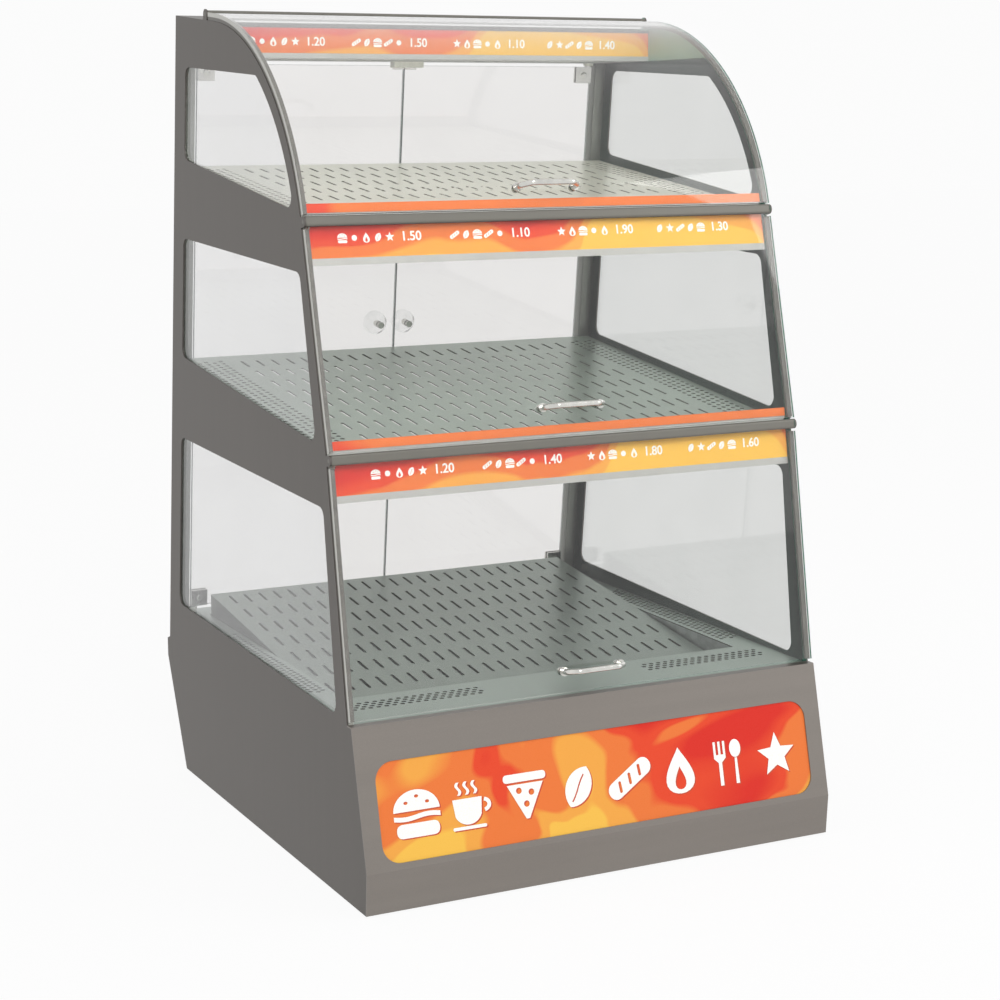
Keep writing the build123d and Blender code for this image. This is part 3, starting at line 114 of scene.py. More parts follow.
def ramp(tree, factor, stops):
    made = addNode(tree, "ShaderNodeValToRGB", {"Fac": factor})
    while len(made.color_ramp.elements) < len(stops):
        made.color_ramp.elements.new(0.5)
    for element, (place, colour) in zip(made.color_ramp.elements, stops):
        element.position = place
        element.color = colour
    return made.outputs["Color"]


def twoTone(tree, factor, first, second, ends=(0.3, 0.7)):
    # most of a noise lies between these ends
    return ramp(tree, factor, list(zip(ends, (first, second))))


def mapped(tree, value, source=(0.0, 1.0), target=(0.0, 1.0)):
    ends = {"From Min": source[0], "From Max": source[1], "To Min": target[0], "To Max": target[1]}
    return addNode(tree, "ShaderNodeMapRange", {"Value": value, **ends}).outputs["Result"]


def maths(tree, operation, first, second=0.0):
    return addNode(tree, "ShaderNodeMath", {0: first, 1: second}, operation=operation).outputs[0]


def weighted(tree, values, shares):
    # sum of the values, each times its share
    total = maths(tree, "MULTIPLY", values[0], shares[0])
    for value, share in zip(values[1:], shares[1:]):
        total = maths(tree, "ADD", total, maths(tree, "MULTIPLY", value, share))
    return total


def mixColour(tree, factor, first, second, blend="MIX"):
    # sockets 6 and 7 are the two colours
    sockets = {0: factor, 6: first, 7: second}
    return addNode(tree, "ShaderNodeMix", sockets, data_type="RGBA", blend_type=blend).outputs[2]


def bumpFrom(tree, height, strength, depth):
    values = {"Height": height, "Strength": strength, "Distance": depth}
    return addNode(tree, "ShaderNodeBump", values).outputs["Normal"]


# Painted sheet metal: fine metallic grain, faint long streaks and slow tone changes
def paintedSheet(name, look):
    material, tree, shader, coords = startMaterial(name)
    grain = noiseOn(tree, coords, look["grainScale"], detail=3.0)
    streak = noiseOn(tree, coords, look["streakScale"], detail=4.0, stretch=look["streakStretch"])
    cloud = noiseOn(tree, coords, look["cloudScale"])
    mixed = weighted(tree, (grain, streak, cloud), look["noiseShares"])
    dark, light = (toned(look["colour"], 1 + side * look["contrast"]) for side in (-1, 1))
    tone = twoTone(tree, mixed, dark, light)
    # painted shade: upright faces, such as the walls of slots, are darkened by multiplying
    if look["wall"]:
        slope = maths(tree, "ABSOLUTE", axes(tree, surfaceNormal(tree))["Z"])
        upright = maths(tree, "LESS_THAN", slope, look["wallSlope"])
        tone = mixColour(tree, upright, tone, look["wall"], "MULTIPLY")
    # painted light: faces towards the middle of the case take a brighter green tone, for the light through
    # the side glass
    if look["inside"]:
        outward = maths(tree, "MULTIPLY", axes(tree, coords)["X"], axes(tree, surfaceNormal(tree))["X"])
        inward = maths(tree, "LESS_THAN", outward, -look["insideReach"])
        tone = mixColour(tree, inward, tone, twoTone(tree, mixed, *look["inside"]))
    spread = look["roughnessSpread"]
    rough = mapped(tree, mixed, target=(look["roughness"] - spread, look["roughness"] + spread))
    finish = {
        "Base Color": tone,
        "Roughness": rough,
        "Normal": bumpFrom(tree, grain, look["bump"], look["bumpDepth"]),
        "Metallic": look["metal"],
        "Specular IOR Level": look["gloss"],
        "Coat Weight": look["coat"],
        "Coat Roughness": look["coatRoughness"],
    }
    feed(tree, shader, finish)
    return material


# painted shade: a darker copy of the front panel's paint, for the side panels taking less light
panelLook = {
    "colour": fromPhoto(100, 96, 92),
    "contrast": 0.10,
    "metal": 0.40,
    "gloss": 0.25,
    "roughness": 0.44,
    "roughnessSpread": 0.06,
    "grainScale": 900.0,
    "streakScale": 60.0,
    "streakStretch": (1.0, 1.0, 0.04),  # streaks run up the panel
    "cloudScale": 2.2,
    "noiseShares": (0.35, 0.30, 0.35),  # grain, streak, cloud
    "bump": 0.12,
    "bumpDepth": 0.00008,
    "coat": 0.0,
    "coatRoughness": 0.25,
    "wall": None,  # painted shade multiplied onto upright faces, such as the walls of slots
    "wallSlope": 0.6,
    "inside": None,  # painted light: dark and light tone of the face towards the middle of the case, green and brighter for the light through the side glass
    "insideReach": 0.15,
}
# painted light on the inner faces of the side panels
sideLook = dict(panelLook, inside=(fromPhoto(148, 176, 162), fromPhoto(162, 190, 176)))
# painted light: a lighter copy of the panel paint, for the stronger light on the front
frontLook = dict(
    panelLook,
    colour=fromPhoto(129, 123, 117),
    metal=0.55,
    gloss=0.5,
    roughness=0.38,
    coat=0.10,
    streakStretch=(0.04, 1.0, 1.0),
)
shelfLook = dict(
    panelLook,
    colour=fromPhoto(158, 172, 160),
    metal=0.5,
    gloss=0.5,
    # painted shade on the walls of the slots
    wall=rgba(0.30, 0.27, 0.24),
    roughness=0.33,
    streakStretch=(1.0, 0.04, 1.0),
)
# painted light: a lighter copy of the shelf finish, for the header lamp's light on the upper shelf
litUpperShelfLook = dict(shelfLook, colour=fromPhoto(222, 222, 208), metal=0.35)
trayLook = dict(shelfLook, colour=fromPhoto(136, 147, 138), metal=0.55)
deckLook = dict(shelfLook, colour=fromPhoto(140, 154, 144), metal=0.35)
postLook = dict(panelLook, colour=fromPhoto(122, 124, 117), metal=0.6, gloss=0.5, roughness=0.34)
lipLook = dict(
    panelLook, colour=fromPhoto(182, 182, 178), metal=0.25, gloss=0.5, roughness=0.42, contrast=0.06
)
barLook = dict(lipLook, colour=fromPhoto(112, 110, 103), metal=0.3)


# Zinc spangle on the plain sheet inside
def spangledSheet(name, look):
    material, tree, shader, coords = startMaterial(name)
    cells = addNode(tree, "ShaderNodeTexVoronoi", {"Vector": coords, "Scale": look["cellScale"]})
    tone = addNode(tree, "ShaderNodeSeparateColor", {"Color": cells.outputs["Color"]}).outputs[0]
    dark, light = (toned(look["colour"], 1 + side * look["contrast"]) for side in (-1, 1))
    finish = {
        "Base Color": twoTone(tree, tone, dark, light, ends=(0.0, 1.0)),
        "Roughness": mapped(tree, tone, target=look["roughness"]),
        "Metallic": look["metal"],
    }
    feed(tree, shader, finish)
    return material


plainLook = {
    "colour": fromPhoto(176, 178, 178),
    "contrast": 0.16,
    "metal": 0.85,
    "cellScale": 90.0,
    "roughness": (0.34, 0.50),
}


# Glass that lets lamp light through, with the green of its cut edges; some looks put a painted highlight on
# the edges in the left half of the case
def caseGlass(name, look):
    material, tree, shader, coords = startMaterial(name)
    pair = {0: surfaceNormal(tree), 1: look["paneNormal"]}
    along = addNode(tree, "ShaderNodeVectorMath", pair, operation="DOT_PRODUCT").outputs["Value"]
    edge = maths(tree, look["edgeTest"], maths(tree, "ABSOLUTE", along), look["edgeLimit"])
    across = maths(tree, "ADD", axes(tree, coords)["X"], 0.5)  # 0.5 is the middle of the case
    # edges in the left half take edgeLeft, which some looks set to a whitish painted highlight
    edgeColour = twoTone(tree, across, look["edgeLeft"], look["edgeRight"], ends=(0.49, 0.51))
    smear = noiseOn(tree, coords, look["smearScale"], detail=4.0, distortion=0.6)
    clean = twoTone(tree, smear, look["tint"], look["tintSmear"], ends=(0.3, 0.8))
    smearRough = mapped(tree, smear, target=(0.0, look["smearRoughness"]))
    finish = {
        "Base Color": mixColour(tree, edge, clean, edgeColour),
        "Transmission Weight": mapped(tree, edge, target=(1.0, look["edgeClear"])),
        "Roughness": maths(tree, "ADD", smearRough, maths(tree, "MULTIPLY", edge, look["edgeRoughness"])),
        "IOR": look["refraction"],
    }
    feed(tree, shader, finish)
    through = addNode(tree, "ShaderNodeBsdfTransparent", {"Color": look["shade"]}).outputs[0]
    shadowRay = addNode(tree, "ShaderNodeLightPath").outputs["Is Shadow Ray"]
    mixed = addNode(tree, "ShaderNodeMixShader", {0: shadowRay, 1: shader.outputs[0], 2: through})
    tree.links.new(mixed.outputs[0], tree.nodes["Material Output"].inputs["Surface"])
    return material


# How far each leaning face leans back for one unit of height
rakes = {"lower": 0.1705, "upper": 0.2507, "sign": 39.0 / 159.0, "rear": 0.1143}


def leanNormal(rake):
    length = math.hypot(1.0, rake)
    return (0.0, -1.0 / length, rake / length)


glassLook = {
    "tint": rgba(0.905, 0.898, 0.892),
    "tintSmear": rgba(0.930, 0.923, 0.917),
    "smearScale": 7.0,
    "smearRoughness": 0.03,
    "refraction": 1.45,
    "paneNormal": (1.0, 0.0, 0.0),
    "edgeTest": "LESS_THAN",  # a cut edge faces away from the pane's normal
    "edgeLimit": 0.5,
    "edgeLeft": fromPhoto(42, 92, 76),
    "edgeRight": fromPhoto(42, 92, 76),
    "edgeClear": 0.25,
    "edgeRoughness": 0.25,
    "shade": rgba(0.90, 0.93, 0.92),  # colour of the light that falls through
}
leftLook = dict(
    glassLook,
    tint=rgba(0.83, 0.832, 0.836),
    tintSmear=rgba(0.86, 0.862, 0.866),
    # painted highlight: whitish edges in place of the green of cut glass
    edgeLeft=fromPhoto(206, 205, 198),
)
rightLook = dict(glassLook, tint=rgba(0.755, 0.772, 0.764), tintSmear=rgba(0.785, 0.80, 0.792))
doorLook = dict(glassLook, paneNormal=leanNormal(-rakes["rear"]))
flapLook = dict(
    # painted highlight: whitish left edges; the right edges keep the green of cut glass
    glassLook, edgeLeft=fromPhoto(206, 205, 198), edgeRight=fromPhoto(96, 150, 130), edgeClear=0.1
)
lowerLook = dict(flapLook, paneNormal=leanNormal(rakes["lower"]))
middleLook = dict(flapLook, paneNormal=leanNormal(rakes["upper"]))
curvedLook = dict(flapLook, edgeTest="GREATER_THAN")  # only its two ends face sideways


# Plain plastics, rubber, ink and bright metal
def moulded(name, look):
    material, tree, shader, coords = startMaterial(name)
    grain = noiseOn(tree, coords, look["grainScale"])
    dark, light = (toned(look["colour"], share) for share in look["tones"])
    rough = [look["roughness"] + step for step in look["roughnessSteps"]]
    finish = {
        "Base Color": twoTone(tree, grain, dark, light),
        "Roughness": mapped(tree, grain, target=rough),
        "Normal": bumpFrom(tree, grain, look["bump"], look["bumpDepth"]),
        "Metallic": look["metal"],
        "IOR": look["refraction"],
        "Transmission Weight": look["clear"],
    }
    feed(tree, shader, finish)
    return material


mouldedLook = {
    "colour": fromPhoto(252, 251, 240),
    "tones": (0.88, 1.06),
    "grainScale": 300.0,
    "roughness": 0.35,
    "roughnessSteps": (-0.05, 0.07),
    "bump": 0.05,
    "bumpDepth": 0.0001,
    "metal": 0.0,
    "refraction": 1.46,
    "clear": 0.0,
}
blackLook = dict(mouldedLook, colour=fromPhoto(40, 40, 42), grainScale=1400.0, roughness=0.5, bump=0.35)
rubberLook = dict(mouldedLook, colour=fromPhoto(34, 34, 35), grainScale=700.0, roughness=0.7, bump=0.4)
rockerLook = dict(mouldedLook, colour=fromPhoto(178, 30, 22), grainScale=500.0, roughness=0.3)
chromeLook = dict(
    mouldedLook, colour=fromPhoto(214, 213, 208), grainScale=60.0, roughness=0.13, bump=0.0, metal=1.0
)
inkLook = dict(mouldedLook, colour=fromPhoto(252, 250, 244), grainScale=900.0, roughness=0.4, bump=0.02)
shadeInkLook = dict(inkLook, colour=fromPhoto(196, 74, 44))
elementLook = dict(
    mouldedLook, colour=fromPhoto(112, 102, 96), grainScale=120.0, roughness=0.45, bump=0.1, metal=0.8
)
sealLook = dict(mouldedLook, colour=fromPhoto(108, 105, 100), grainScale=90.0, roughness=0.4, bump=0.02)
knobLook = dict(
    mouldedLook,
    colour=fromPhoto(250, 252, 251),
    grainScale=90.0,
    roughness=0.22,
    bump=0.02,
    clear=1.0,
    refraction=1.2,
)
diffuserLook = dict(mouldedLook, colour=fromPhoto(240, 241, 236), grainScale=240.0, roughness=0.4, clear=0.2)


# Printed warm art: warped bands from red to yellow, with the tone moved along the length
def warmPrint(name, look, box):
    material, tree, shader, coords = startMaterial(name)
    low, high = box
    place = axes(tree, coords)
    acrossShare = mapped(tree, place["X"], source=(low[0], high[0]))
    upShare = mapped(tree, place["Z"], source=(low[2], high[2]))
    drift = addNode(tree, "ShaderNodeFloatCurve", {"Value": acrossShare})
    curve = drift.mapping.curves[0]
    curve.points[0].location = look["drift"][0]
    curve.points[1].location = look["drift"][-1]
    for point in look["drift"][1:-1]:
        curve.points.new(*point)
    drift.mapping.update()
    wave = noiseOn(tree, coords, look["waveScale"], 0.8, look["swirl"], look["stretch"])
    swirl = maths(tree, "MULTIPLY", maths(tree, "SUBTRACT", wave, 0.5), look["waveShare"])
    glow = mapped(tree, upShare, source=(0.0, look["glowTop"]), target=(look["glow"], 0.0))
    tone = maths(tree, "ADD", maths(tree, "ADD", drift.outputs[0], swirl), glow)
    colour = ramp(tree, tone, [(stop, inks[ink]) for stop, ink in look["stops"]])
    grain = noiseOn(tree, coords, look["grainScale"], detail=1.0)
    finish = {
        "Base Color": colour,
        "Roughness": mapped(tree, grain, target=look["roughness"]),
        "IOR": look["refraction"],
        "Specular IOR Level": look["gloss"],
        "Emission Color": colour,
        "Emission Strength": look["lit"],
    }
    feed(tree, shader, finish)
    return material


inks = {
    "red": fromPhoto(210, 40, 25),
    "scarlet": fromPhoto(221, 68, 34),
    "orange": fromPhoto(226, 116, 52),
    "amber": fromPhoto(232, 160, 66),
    "yellow": fromPhoto(236, 184, 74),
}
signLook = {
    "stops": [  # tone and its ink
        (0.12, "red"),
        (0.26, "scarlet"),
        (0.32, "scarlet"),
        (0.37, "orange"),
        (0.55, "orange"),
        (0.62, "amber"),
        (0.78, "amber"),
        (0.82, "yellow"),
    ],
    "drift": [  # share of the width, tone there
        (0.0, 0.66),
        (0.16, 0.74),
        (0.3, 0.46),
        (0.42, 0.66),
        (0.54, 0.3),
        (0.72, 0.14),
        (0.9, 0.22),
        (1.0, 0.42),
    ],
    "waveScale": 3.4,
    "swirl": 2.6,
    "stretch": (1.0, 1.0, 2.0),
    "waveShare": 1.3,
    "glow": 0.22,  # towards yellow at the lower edge
    "glowTop": 0.42,
    # painted glow: the sign glows faintly, though no tube lights it
    "lit": 0.02,
    "gloss": 0.35,
    "grainScale": 1500.0,
    "roughness": (0.24, 0.34),
    "refraction": 1.48,
}
filmLook = dict(
    signLook,
    drift=[
        (0.0, 0.0),
        (0.14, 0.12),
        (0.3, 0.34),
        (0.46, 0.12),
        (0.56, 0.3),
        (0.66, 0.92),
        (0.84, 0.85),
        (1.0, 0.36),
    ],
    waveScale=7.0,
    swirl=1.0,
    stretch=(0.8, 1.0, 1.4),
    waveShare=0.6,
    glow=0.45,
    glowTop=0.9,
    lit=0.06,
    gloss=0.2,
)
trimLook = dict(
    filmLook, waveShare=0.3, drift=[(0.0, 0.3), (0.3, 0.5), (0.6, 0.4), (1.0, 0.45)], glow=0.0, lit=0.05
)

panelPaint = paintedSheet("panelPaint", panelLook)
sidePaint = paintedSheet("sidePaint", sideLook)
frontPaint = paintedSheet("frontPaint", frontLook)
shelfPaint = paintedSheet("shelfPaint", shelfLook)
litUpperShelfPaint = paintedSheet("litUpperShelfPaint", litUpperShelfLook)
trayPaint = paintedSheet("trayPaint", trayLook)
deckPaint = paintedSheet("deckPaint", deckLook)
postPaint = paintedSheet("postPaint", postLook)
lipPaint = paintedSheet("lipPaint", lipLook)
barPaint = paintedSheet("barPaint", barLook)
plainSheet = spangledSheet("plainSheet", plainLook)
whitePlastic = moulded("whitePlastic", mouldedLook)
blackPlastic = moulded("blackPlastic", blackLook)
footRubber = moulded("footRubber", rubberLook)
rockerPlastic = moulded("rockerPlastic", rockerLook)
brightSteel = moulded("brightSteel", chromeLook)
elementSteel = moulded("elementSteel", elementLook)
greySeal = moulded("greySeal", sealLook)
knobPlastic = moulded("knobPlastic", knobLook)
milkyPanel = moulded("milkyPanel", diffuserLook)
whiteInk = moulded("whiteInk", inkLook)
shadeInk = moulded("shadeInk", shadeInkLook)
signPrint = warmPrint("signPrint", signLook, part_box("base_sign"))
lowerFilm = warmPrint("lowerFilm", filmLook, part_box("strip_film_lower"))
upperFilm = warmPrint("upperFilm", filmLook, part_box("strip_film_upper"))
headerFilm = warmPrint("headerFilm", filmLook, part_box("header_film"))
lowerTrim = warmPrint("lowerTrim", trimLook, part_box("strip_trim_lower"))
upperTrim = warmPrint("upperTrim", trimLook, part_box("strip_trim_upper"))
leftGlass = caseGlass("leftGlass", leftLook)
rightGlass = caseGlass("rightGlass", rightLook)
doorGlass = caseGlass("doorGlass", doorLook)
lowerGlass = caseGlass("lowerGlass", lowerLook)
middleGlass = caseGlass("middleGlass", middleLook)
curvedGlass = caseGlass("curvedGlass", curvedLook)
print("finishes made")

# Every node of the frame and its finish
finishOf = {
    "base_front_panel": frontPaint,
    "base_sign": signPrint,
    "base_rear_panel": panelPaint,
    "base_floor": plainSheet,
    "feet": footRubber,
    "side_panel_left": sidePaint,
    "side_panel_right": sidePaint,
    "side_glass_left": leftGlass,
    "side_glass_right": rightGlass,
    "edge_seals_left": greySeal,
    "edge_seals_right": greySeal,
    "deck": deckPaint,
    "heat_well": plainSheet,
    "strip_housing_lower": lipPaint,
    "strip_housing_upper": lipPaint,
    "strip_film_lower": lowerFilm,
    "strip_film_upper": upperFilm,
    "strip_trim_lower": lowerTrim,
    "strip_trim_upper": upperTrim,
    "shelf_lower": shelfPaint,
    "shelf_upper": litUpperShelfPaint,
    "header_housing": lipPaint,
    "header_diffuser": milkyPanel,
    "header_film": headerFilm,
    "roof_cover": panelPaint,
    "tube_lower": whitePlastic,
    "tube_upper": whitePlastic,
    "tube_header": whitePlastic,
    "tube_holders": whitePlastic,
    "rear_post_left": postPaint,
    "rear_post_right": postPaint,
    "pivot_bushes": whitePlastic,
    "magnet_catch": whitePlastic,
    "thermostat": plainSheet,
    "switch_frames": blackPlastic,
    "power_inlet": blackPlastic,
    "fan_frame": blackPlastic,
    "heater_element": elementSteel,
    "ballast_box": plainSheet,
    "screws": brightSteel,
    "front_lower_glass": lowerGlass,
    "front_middle_glass": middleGlass,
    "front_upper_glass": curvedGlass,
    "front_lower_hinge_bar": barPaint,
    "front_middle_hinge_bar": barPaint,
    "front_upper_hinge_bar": barPaint,
    "front_lower_handle": brightSteel,
    "front_middle_handle": brightSteel,
    "front_upper_handle": brightSteel,
    "door_left_glass": doorGlass,
    "door_right_glass": doorGlass,
    "door_left_metal": brightSteel,
    "door_right_metal": brightSteel,
    "door_left_knob": knobPlastic,
    "door_right_knob": knobPlastic,
    "tray": trayPaint,
    "fan_rotor": blackPlastic,
    "thermostat_dial": blackPlastic,
    "rocker_power": rockerPlastic,
    "rocker_light": rockerPlastic,
}
for name, finish in finishOf.items():
    mesh = nodes[name].data
    if not mesh.materials:
        mesh.materials.append(finish)
    for index in range(len(mesh.materials)):
        mesh.materials[index] = finish
print("frame dressed")


# Outlines of the printed marks, drawn about one unit high round their middle
def arc(centre, radii, start, end, count):
    angles = [math.radians(start + (end - start) * index / count) for index in range(count + 1)]
    return [(centre[0] + radii[0] * math.cos(a), centre[1] + radii[1] * math.sin(a)) for a in angles]


def ellipse(centre, radii, count=20):
    return arc(centre, radii, 0, 360, count)[:-1]


def roundedBar(low, high, radius, count=4):
    corners = [(high[0], high[1], 0), (low[0], high[1], 90), (low[0], low[1], 180), (high[0], low[1], 270)]
    points = []
    for x, y, turn in corners:
        centre = (x - radius if x == high[0] else x + radius, y - radius if y == high[1] else y + radius)
        points += arc(centre, (radius, radius), turn, turn + 90, count)
    return points


def waveBand(x, low, high, width, sway, count=10):
    steps = [index / count for index in range(count + 1)]
    left = [(x - width / 2 + sway * math.sin(2 * math.pi * t), low + (high - low) * t) for t in steps]
    right = [(px + width, py) for px, py in left]
    return left + right[::-1]


def drop(centre, width, height, count=28):
    turns = [2 * math.pi * index / count for index in range(count)]
    taper = 1.4
    sides = [width * math.sin(t) * math.sin(t / 2) ** taper for t in turns]
    return [(centre[0] + side, centre[1] + height * math.cos(t)) for side, t in zip(sides, turns)]


def turned(points, degrees):
    c, s = math.cos(math.radians(degrees)), math.sin(math.radians(degrees))
    return [(c * x - s * y, s * x + c * y) for x, y in points]


def moved(points, right, up):
    return [(x + right, y + up) for x, y in points]


def bunShape():
    seeds = [ellipse(spot, (0.05, 0.035), 10) for spot in ((-0.24, 0.24), (0.02, 0.36), (0.26, 0.22))]
    filling = moved(turned(waveBand(0.0, -0.54, 0.54, 0.1, 0.03, 16), 90), 0.0, -0.07)
    dome = arc((0, 0.06), (0.54, 0.44), 0, 180, 24)
    return [dome, *seeds, filling, roundedBar((-0.5, -0.5), (0.5, -0.2), 0.13)]


def cupShape():
    bowl = [(-0.46, 0.14), (0.24, 0.14), *arc((-0.11, -0.12), (0.33, 0.3), -20, -160, 12)]
    grip = arc((0.25, -0.04), (0.2, 0.16), 75, -75, 10) + arc((0.25, -0.04), (0.11, 0.08), -75, 75, 10)
    steam = [waveBand(x, 0.22, 0.5, 0.07, 0.04) for x in (-0.3, -0.11, 0.08)]
    return [bowl, grip, roundedBar((-0.5, -0.52), (0.3, -0.45), 0.03), *steam]


def sliceShape():
    wedge = [(-0.44, 0.26), (0.44, 0.26), (0.04, -0.5), (-0.04, -0.5)]
    dots = [ellipse(spot, (0.07, 0.07), 14) for spot in ((-0.16, 0.12), (0.14, 0.06), (0.0, -0.18))]
    return [wedge, *dots, roundedBar((-0.52, 0.31), (0.52, 0.49), 0.08)]


def leafShape():
    # two arcs that meet at the tips, with a rib cut out
    middle, radius = 0.217, 0.527
    reach = math.degrees(math.acos(middle / radius))
    left = arc((middle, 0.0), (radius, radius), 180 - reach, 180 + reach, 20)
    right = arc((-middle, 0.0), (radius, radius), -reach, reach, 20)
    rib = waveBand(0.0, -0.36, 0.3, 0.035, 0.01)
    return [turned(shape, -30) for shape in (left[:-1] + right[:-1], rib)]


def loafShape():
    cut = turned(roundedBar((-0.035, -0.13), (0.035, 0.13), 0.03), -25)
    cuts = [moved(cut, x, 0.0) for x in (-0.3, 0.0, 0.3)]
    return [turned(shape, 32) for shape in (roundedBar((-0.62, -0.2), (0.62, 0.2), 0.19, 8), *cuts)]


def flameShape():
    return [drop((0, 0), 0.52, 0.52), drop((0, -0.17), 0.2, 0.26, 20)]


def cutleryShape():
    fork = [(-0.26, -0.5), (-0.17, -0.5), (-0.17, 0.02), (-0.06, 0.12), (-0.06, 0.5), (-0.12, 0.5)]
    fork += [(-0.12, 0.2), (-0.185, 0.2), (-0.185, 0.5), (-0.245, 0.5), (-0.245, 0.2), (-0.31, 0.2)]
    fork += [(-0.31, 0.5), (-0.37, 0.5), (-0.37, 0.12), (-0.26, 0.02)]
    handle = [(0.16, -0.5), (0.25, -0.5), (0.235, 0.085), (0.175, 0.085)]
    return [fork, ellipse((0.205, 0.3), (0.15, 0.205)), handle]


def starShape(tip=0.52, notch=0.23, points=5):
    turns = [math.pi * (0.5 + index / points) for index in range(2 * points)]
    return [[(r * math.cos(t), r * math.sin(t)) for r, t in zip((tip, notch) * points, turns)]]


def dotShape():
    return [ellipse((0, 0), (0.3, 0.3), 14)]


def tickShape():
    return [[(-0.08, -0.5), (0.08, -0.5), (0.08, 0.5), (-0.08, 0.5)]]


def ringShape():
    return [ellipse((0, 0), (0.5, 0.5), 24), ellipse((0, 0), (0.34, 0.34), 24)]


# Thin raised prints, one unit high, their backs at z = 0
printLift = 0.00006  # from the face behind to the back of a print
printGauge = 0.00016
weldReach = 1e-7


def settled(source, lift):
    # curve or text to a clean mesh
    bpy.context.collection.objects.link(source)
    mesh = bpy.data.meshes.new_from_object(source.evaluated_get(bpy.context.evaluated_depsgraph_get()))
    bpy.data.objects.remove(source)
    mesh.transform(Matrix.Translation((0, 0, lift)))
    work = bmesh.new()
    work.from_mesh(mesh)
    bmesh.ops.remove_doubles(work, verts=work.verts, dist=weldReach)
    bmesh.ops.recalc_face_normals(work, faces=work.faces)
    work.to_mesh(mesh)
    work.free()
    return mesh


def plateMesh(name, outlines, size):
    # an outline inside another is a hole
    curve = bpy.data.curves.new(name, "CURVE")
    curve.dimensions = "2D"
    curve.fill_mode = "BOTH"
    curve.extrude = printGauge / size / 2
    for outline in outlines:
        spline = curve.splines.new("POLY")
        spline.points.add(len(outline) - 1)
        spline.use_cyclic_u = True
        for point, (x, y) in zip(spline.points, outline):
            point.co = (x, y, 0.0, 1.0)
    return settled(bpy.data.objects.new(name, curve), curve.extrude)


def numberMesh(name, text, size):
    font = bpy.data.curves.new(name, "FONT")
    font.body = text
    font.size = 1.0
    font.offset = 0.02  # a little bolder
    font.extrude = printGauge / size / 2
    font.align_x = "CENTER"
    font.align_y = "CENTER"
    return settled(bpy.data.objects.new(name, font), font.extrude)


# Places on the surfaces
def facing(origin, right, up):
    # local x to the right, y up the surface, z out of it
    right, up = Vector(right).normalized(), Vector(up).normalized()
    spot = Matrix((right, up, right.cross(up))).transposed().to_4x4()
    spot.translation = origin
    return spot


def shifted(spot, x=0.0, y=0.0, z=0.0):
    return spot @ Matrix.Translation((x, y, z))


def leaningFace(node, rake, gauge):
    # middle of the outer face of a plate that leans back by the rake, and its height up the slope
    low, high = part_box(node)
    length = math.hypot(1.0, rake)
    way, normal = (rake / length, 1.0 / length), (-1.0 / length, rake / length)
    foot = (low[1], low[2] + gauge * normal[1])
    run = (high[2] - foot[1]) / way[1]
    middle = (0.0, foot[0] + way[0] * run / 2, foot[1] + way[1] * run / 2)
    return facing(middle, (1, 0, 0), (0, way[0], way[1])), run


# Geometry Nodes tree that sets a part of a collection on each point, turned and picked by attributes
def partsOnPointsTree():
    tree = bpy.data.node_groups.new("partsOnPoints", "GeometryNodeTree")
    for label, way, kind in (
        ("Geometry", "INPUT", "NodeSocketGeometry"),
        ("Parts", "INPUT", "NodeSocketCollection"),
        ("Size", "INPUT", "NodeSocketFloat"),
        ("Finish", "INPUT", "NodeSocketMaterial"),
        ("Geometry", "OUTPUT", "NodeSocketGeometry"),
    ):
        tree.interface.new_socket(name=label, in_out=way, socket_type=kind)
    entry = tree.nodes.new("NodeGroupInput").outputs
    choice = {"Collection": entry["Parts"], "Separate Children": True, "Reset Children": True}
    parts = addNode(tree, "GeometryNodeCollectionInfo", choice)
    spin = addNode(tree, "GeometryNodeInputNamedAttribute", {"Name": "spin"}, data_type="FLOAT_VECTOR")
    pick = addNode(tree, "GeometryNodeInputNamedAttribute", {"Name": "pick"}, data_type="INT")
    placing = {
        "Points": entry["Geometry"],
        "Instance": parts.outputs[0],
        "Pick Instance": True,
        "Instance Index": pick.outputs[0],
        "Rotation": spin.outputs[0],
        "Scale": entry["Size"],
    }
    placed = addNode(tree, "GeometryNodeInstanceOnPoints", placing)
    real = addNode(tree, "GeometryNodeRealizeInstances", {"Geometry": placed.outputs[0]})
    finishing = {"Geometry": real.outputs[0], "Material": entry["Finish"]}
    dressed = addNode(tree, "GeometryNodeSetMaterial", finishing)
    addNode(tree, "NodeGroupOutput", {"Geometry": dressed.outputs[0]})
    return tree


onPointsTree = partsOnPointsTree()


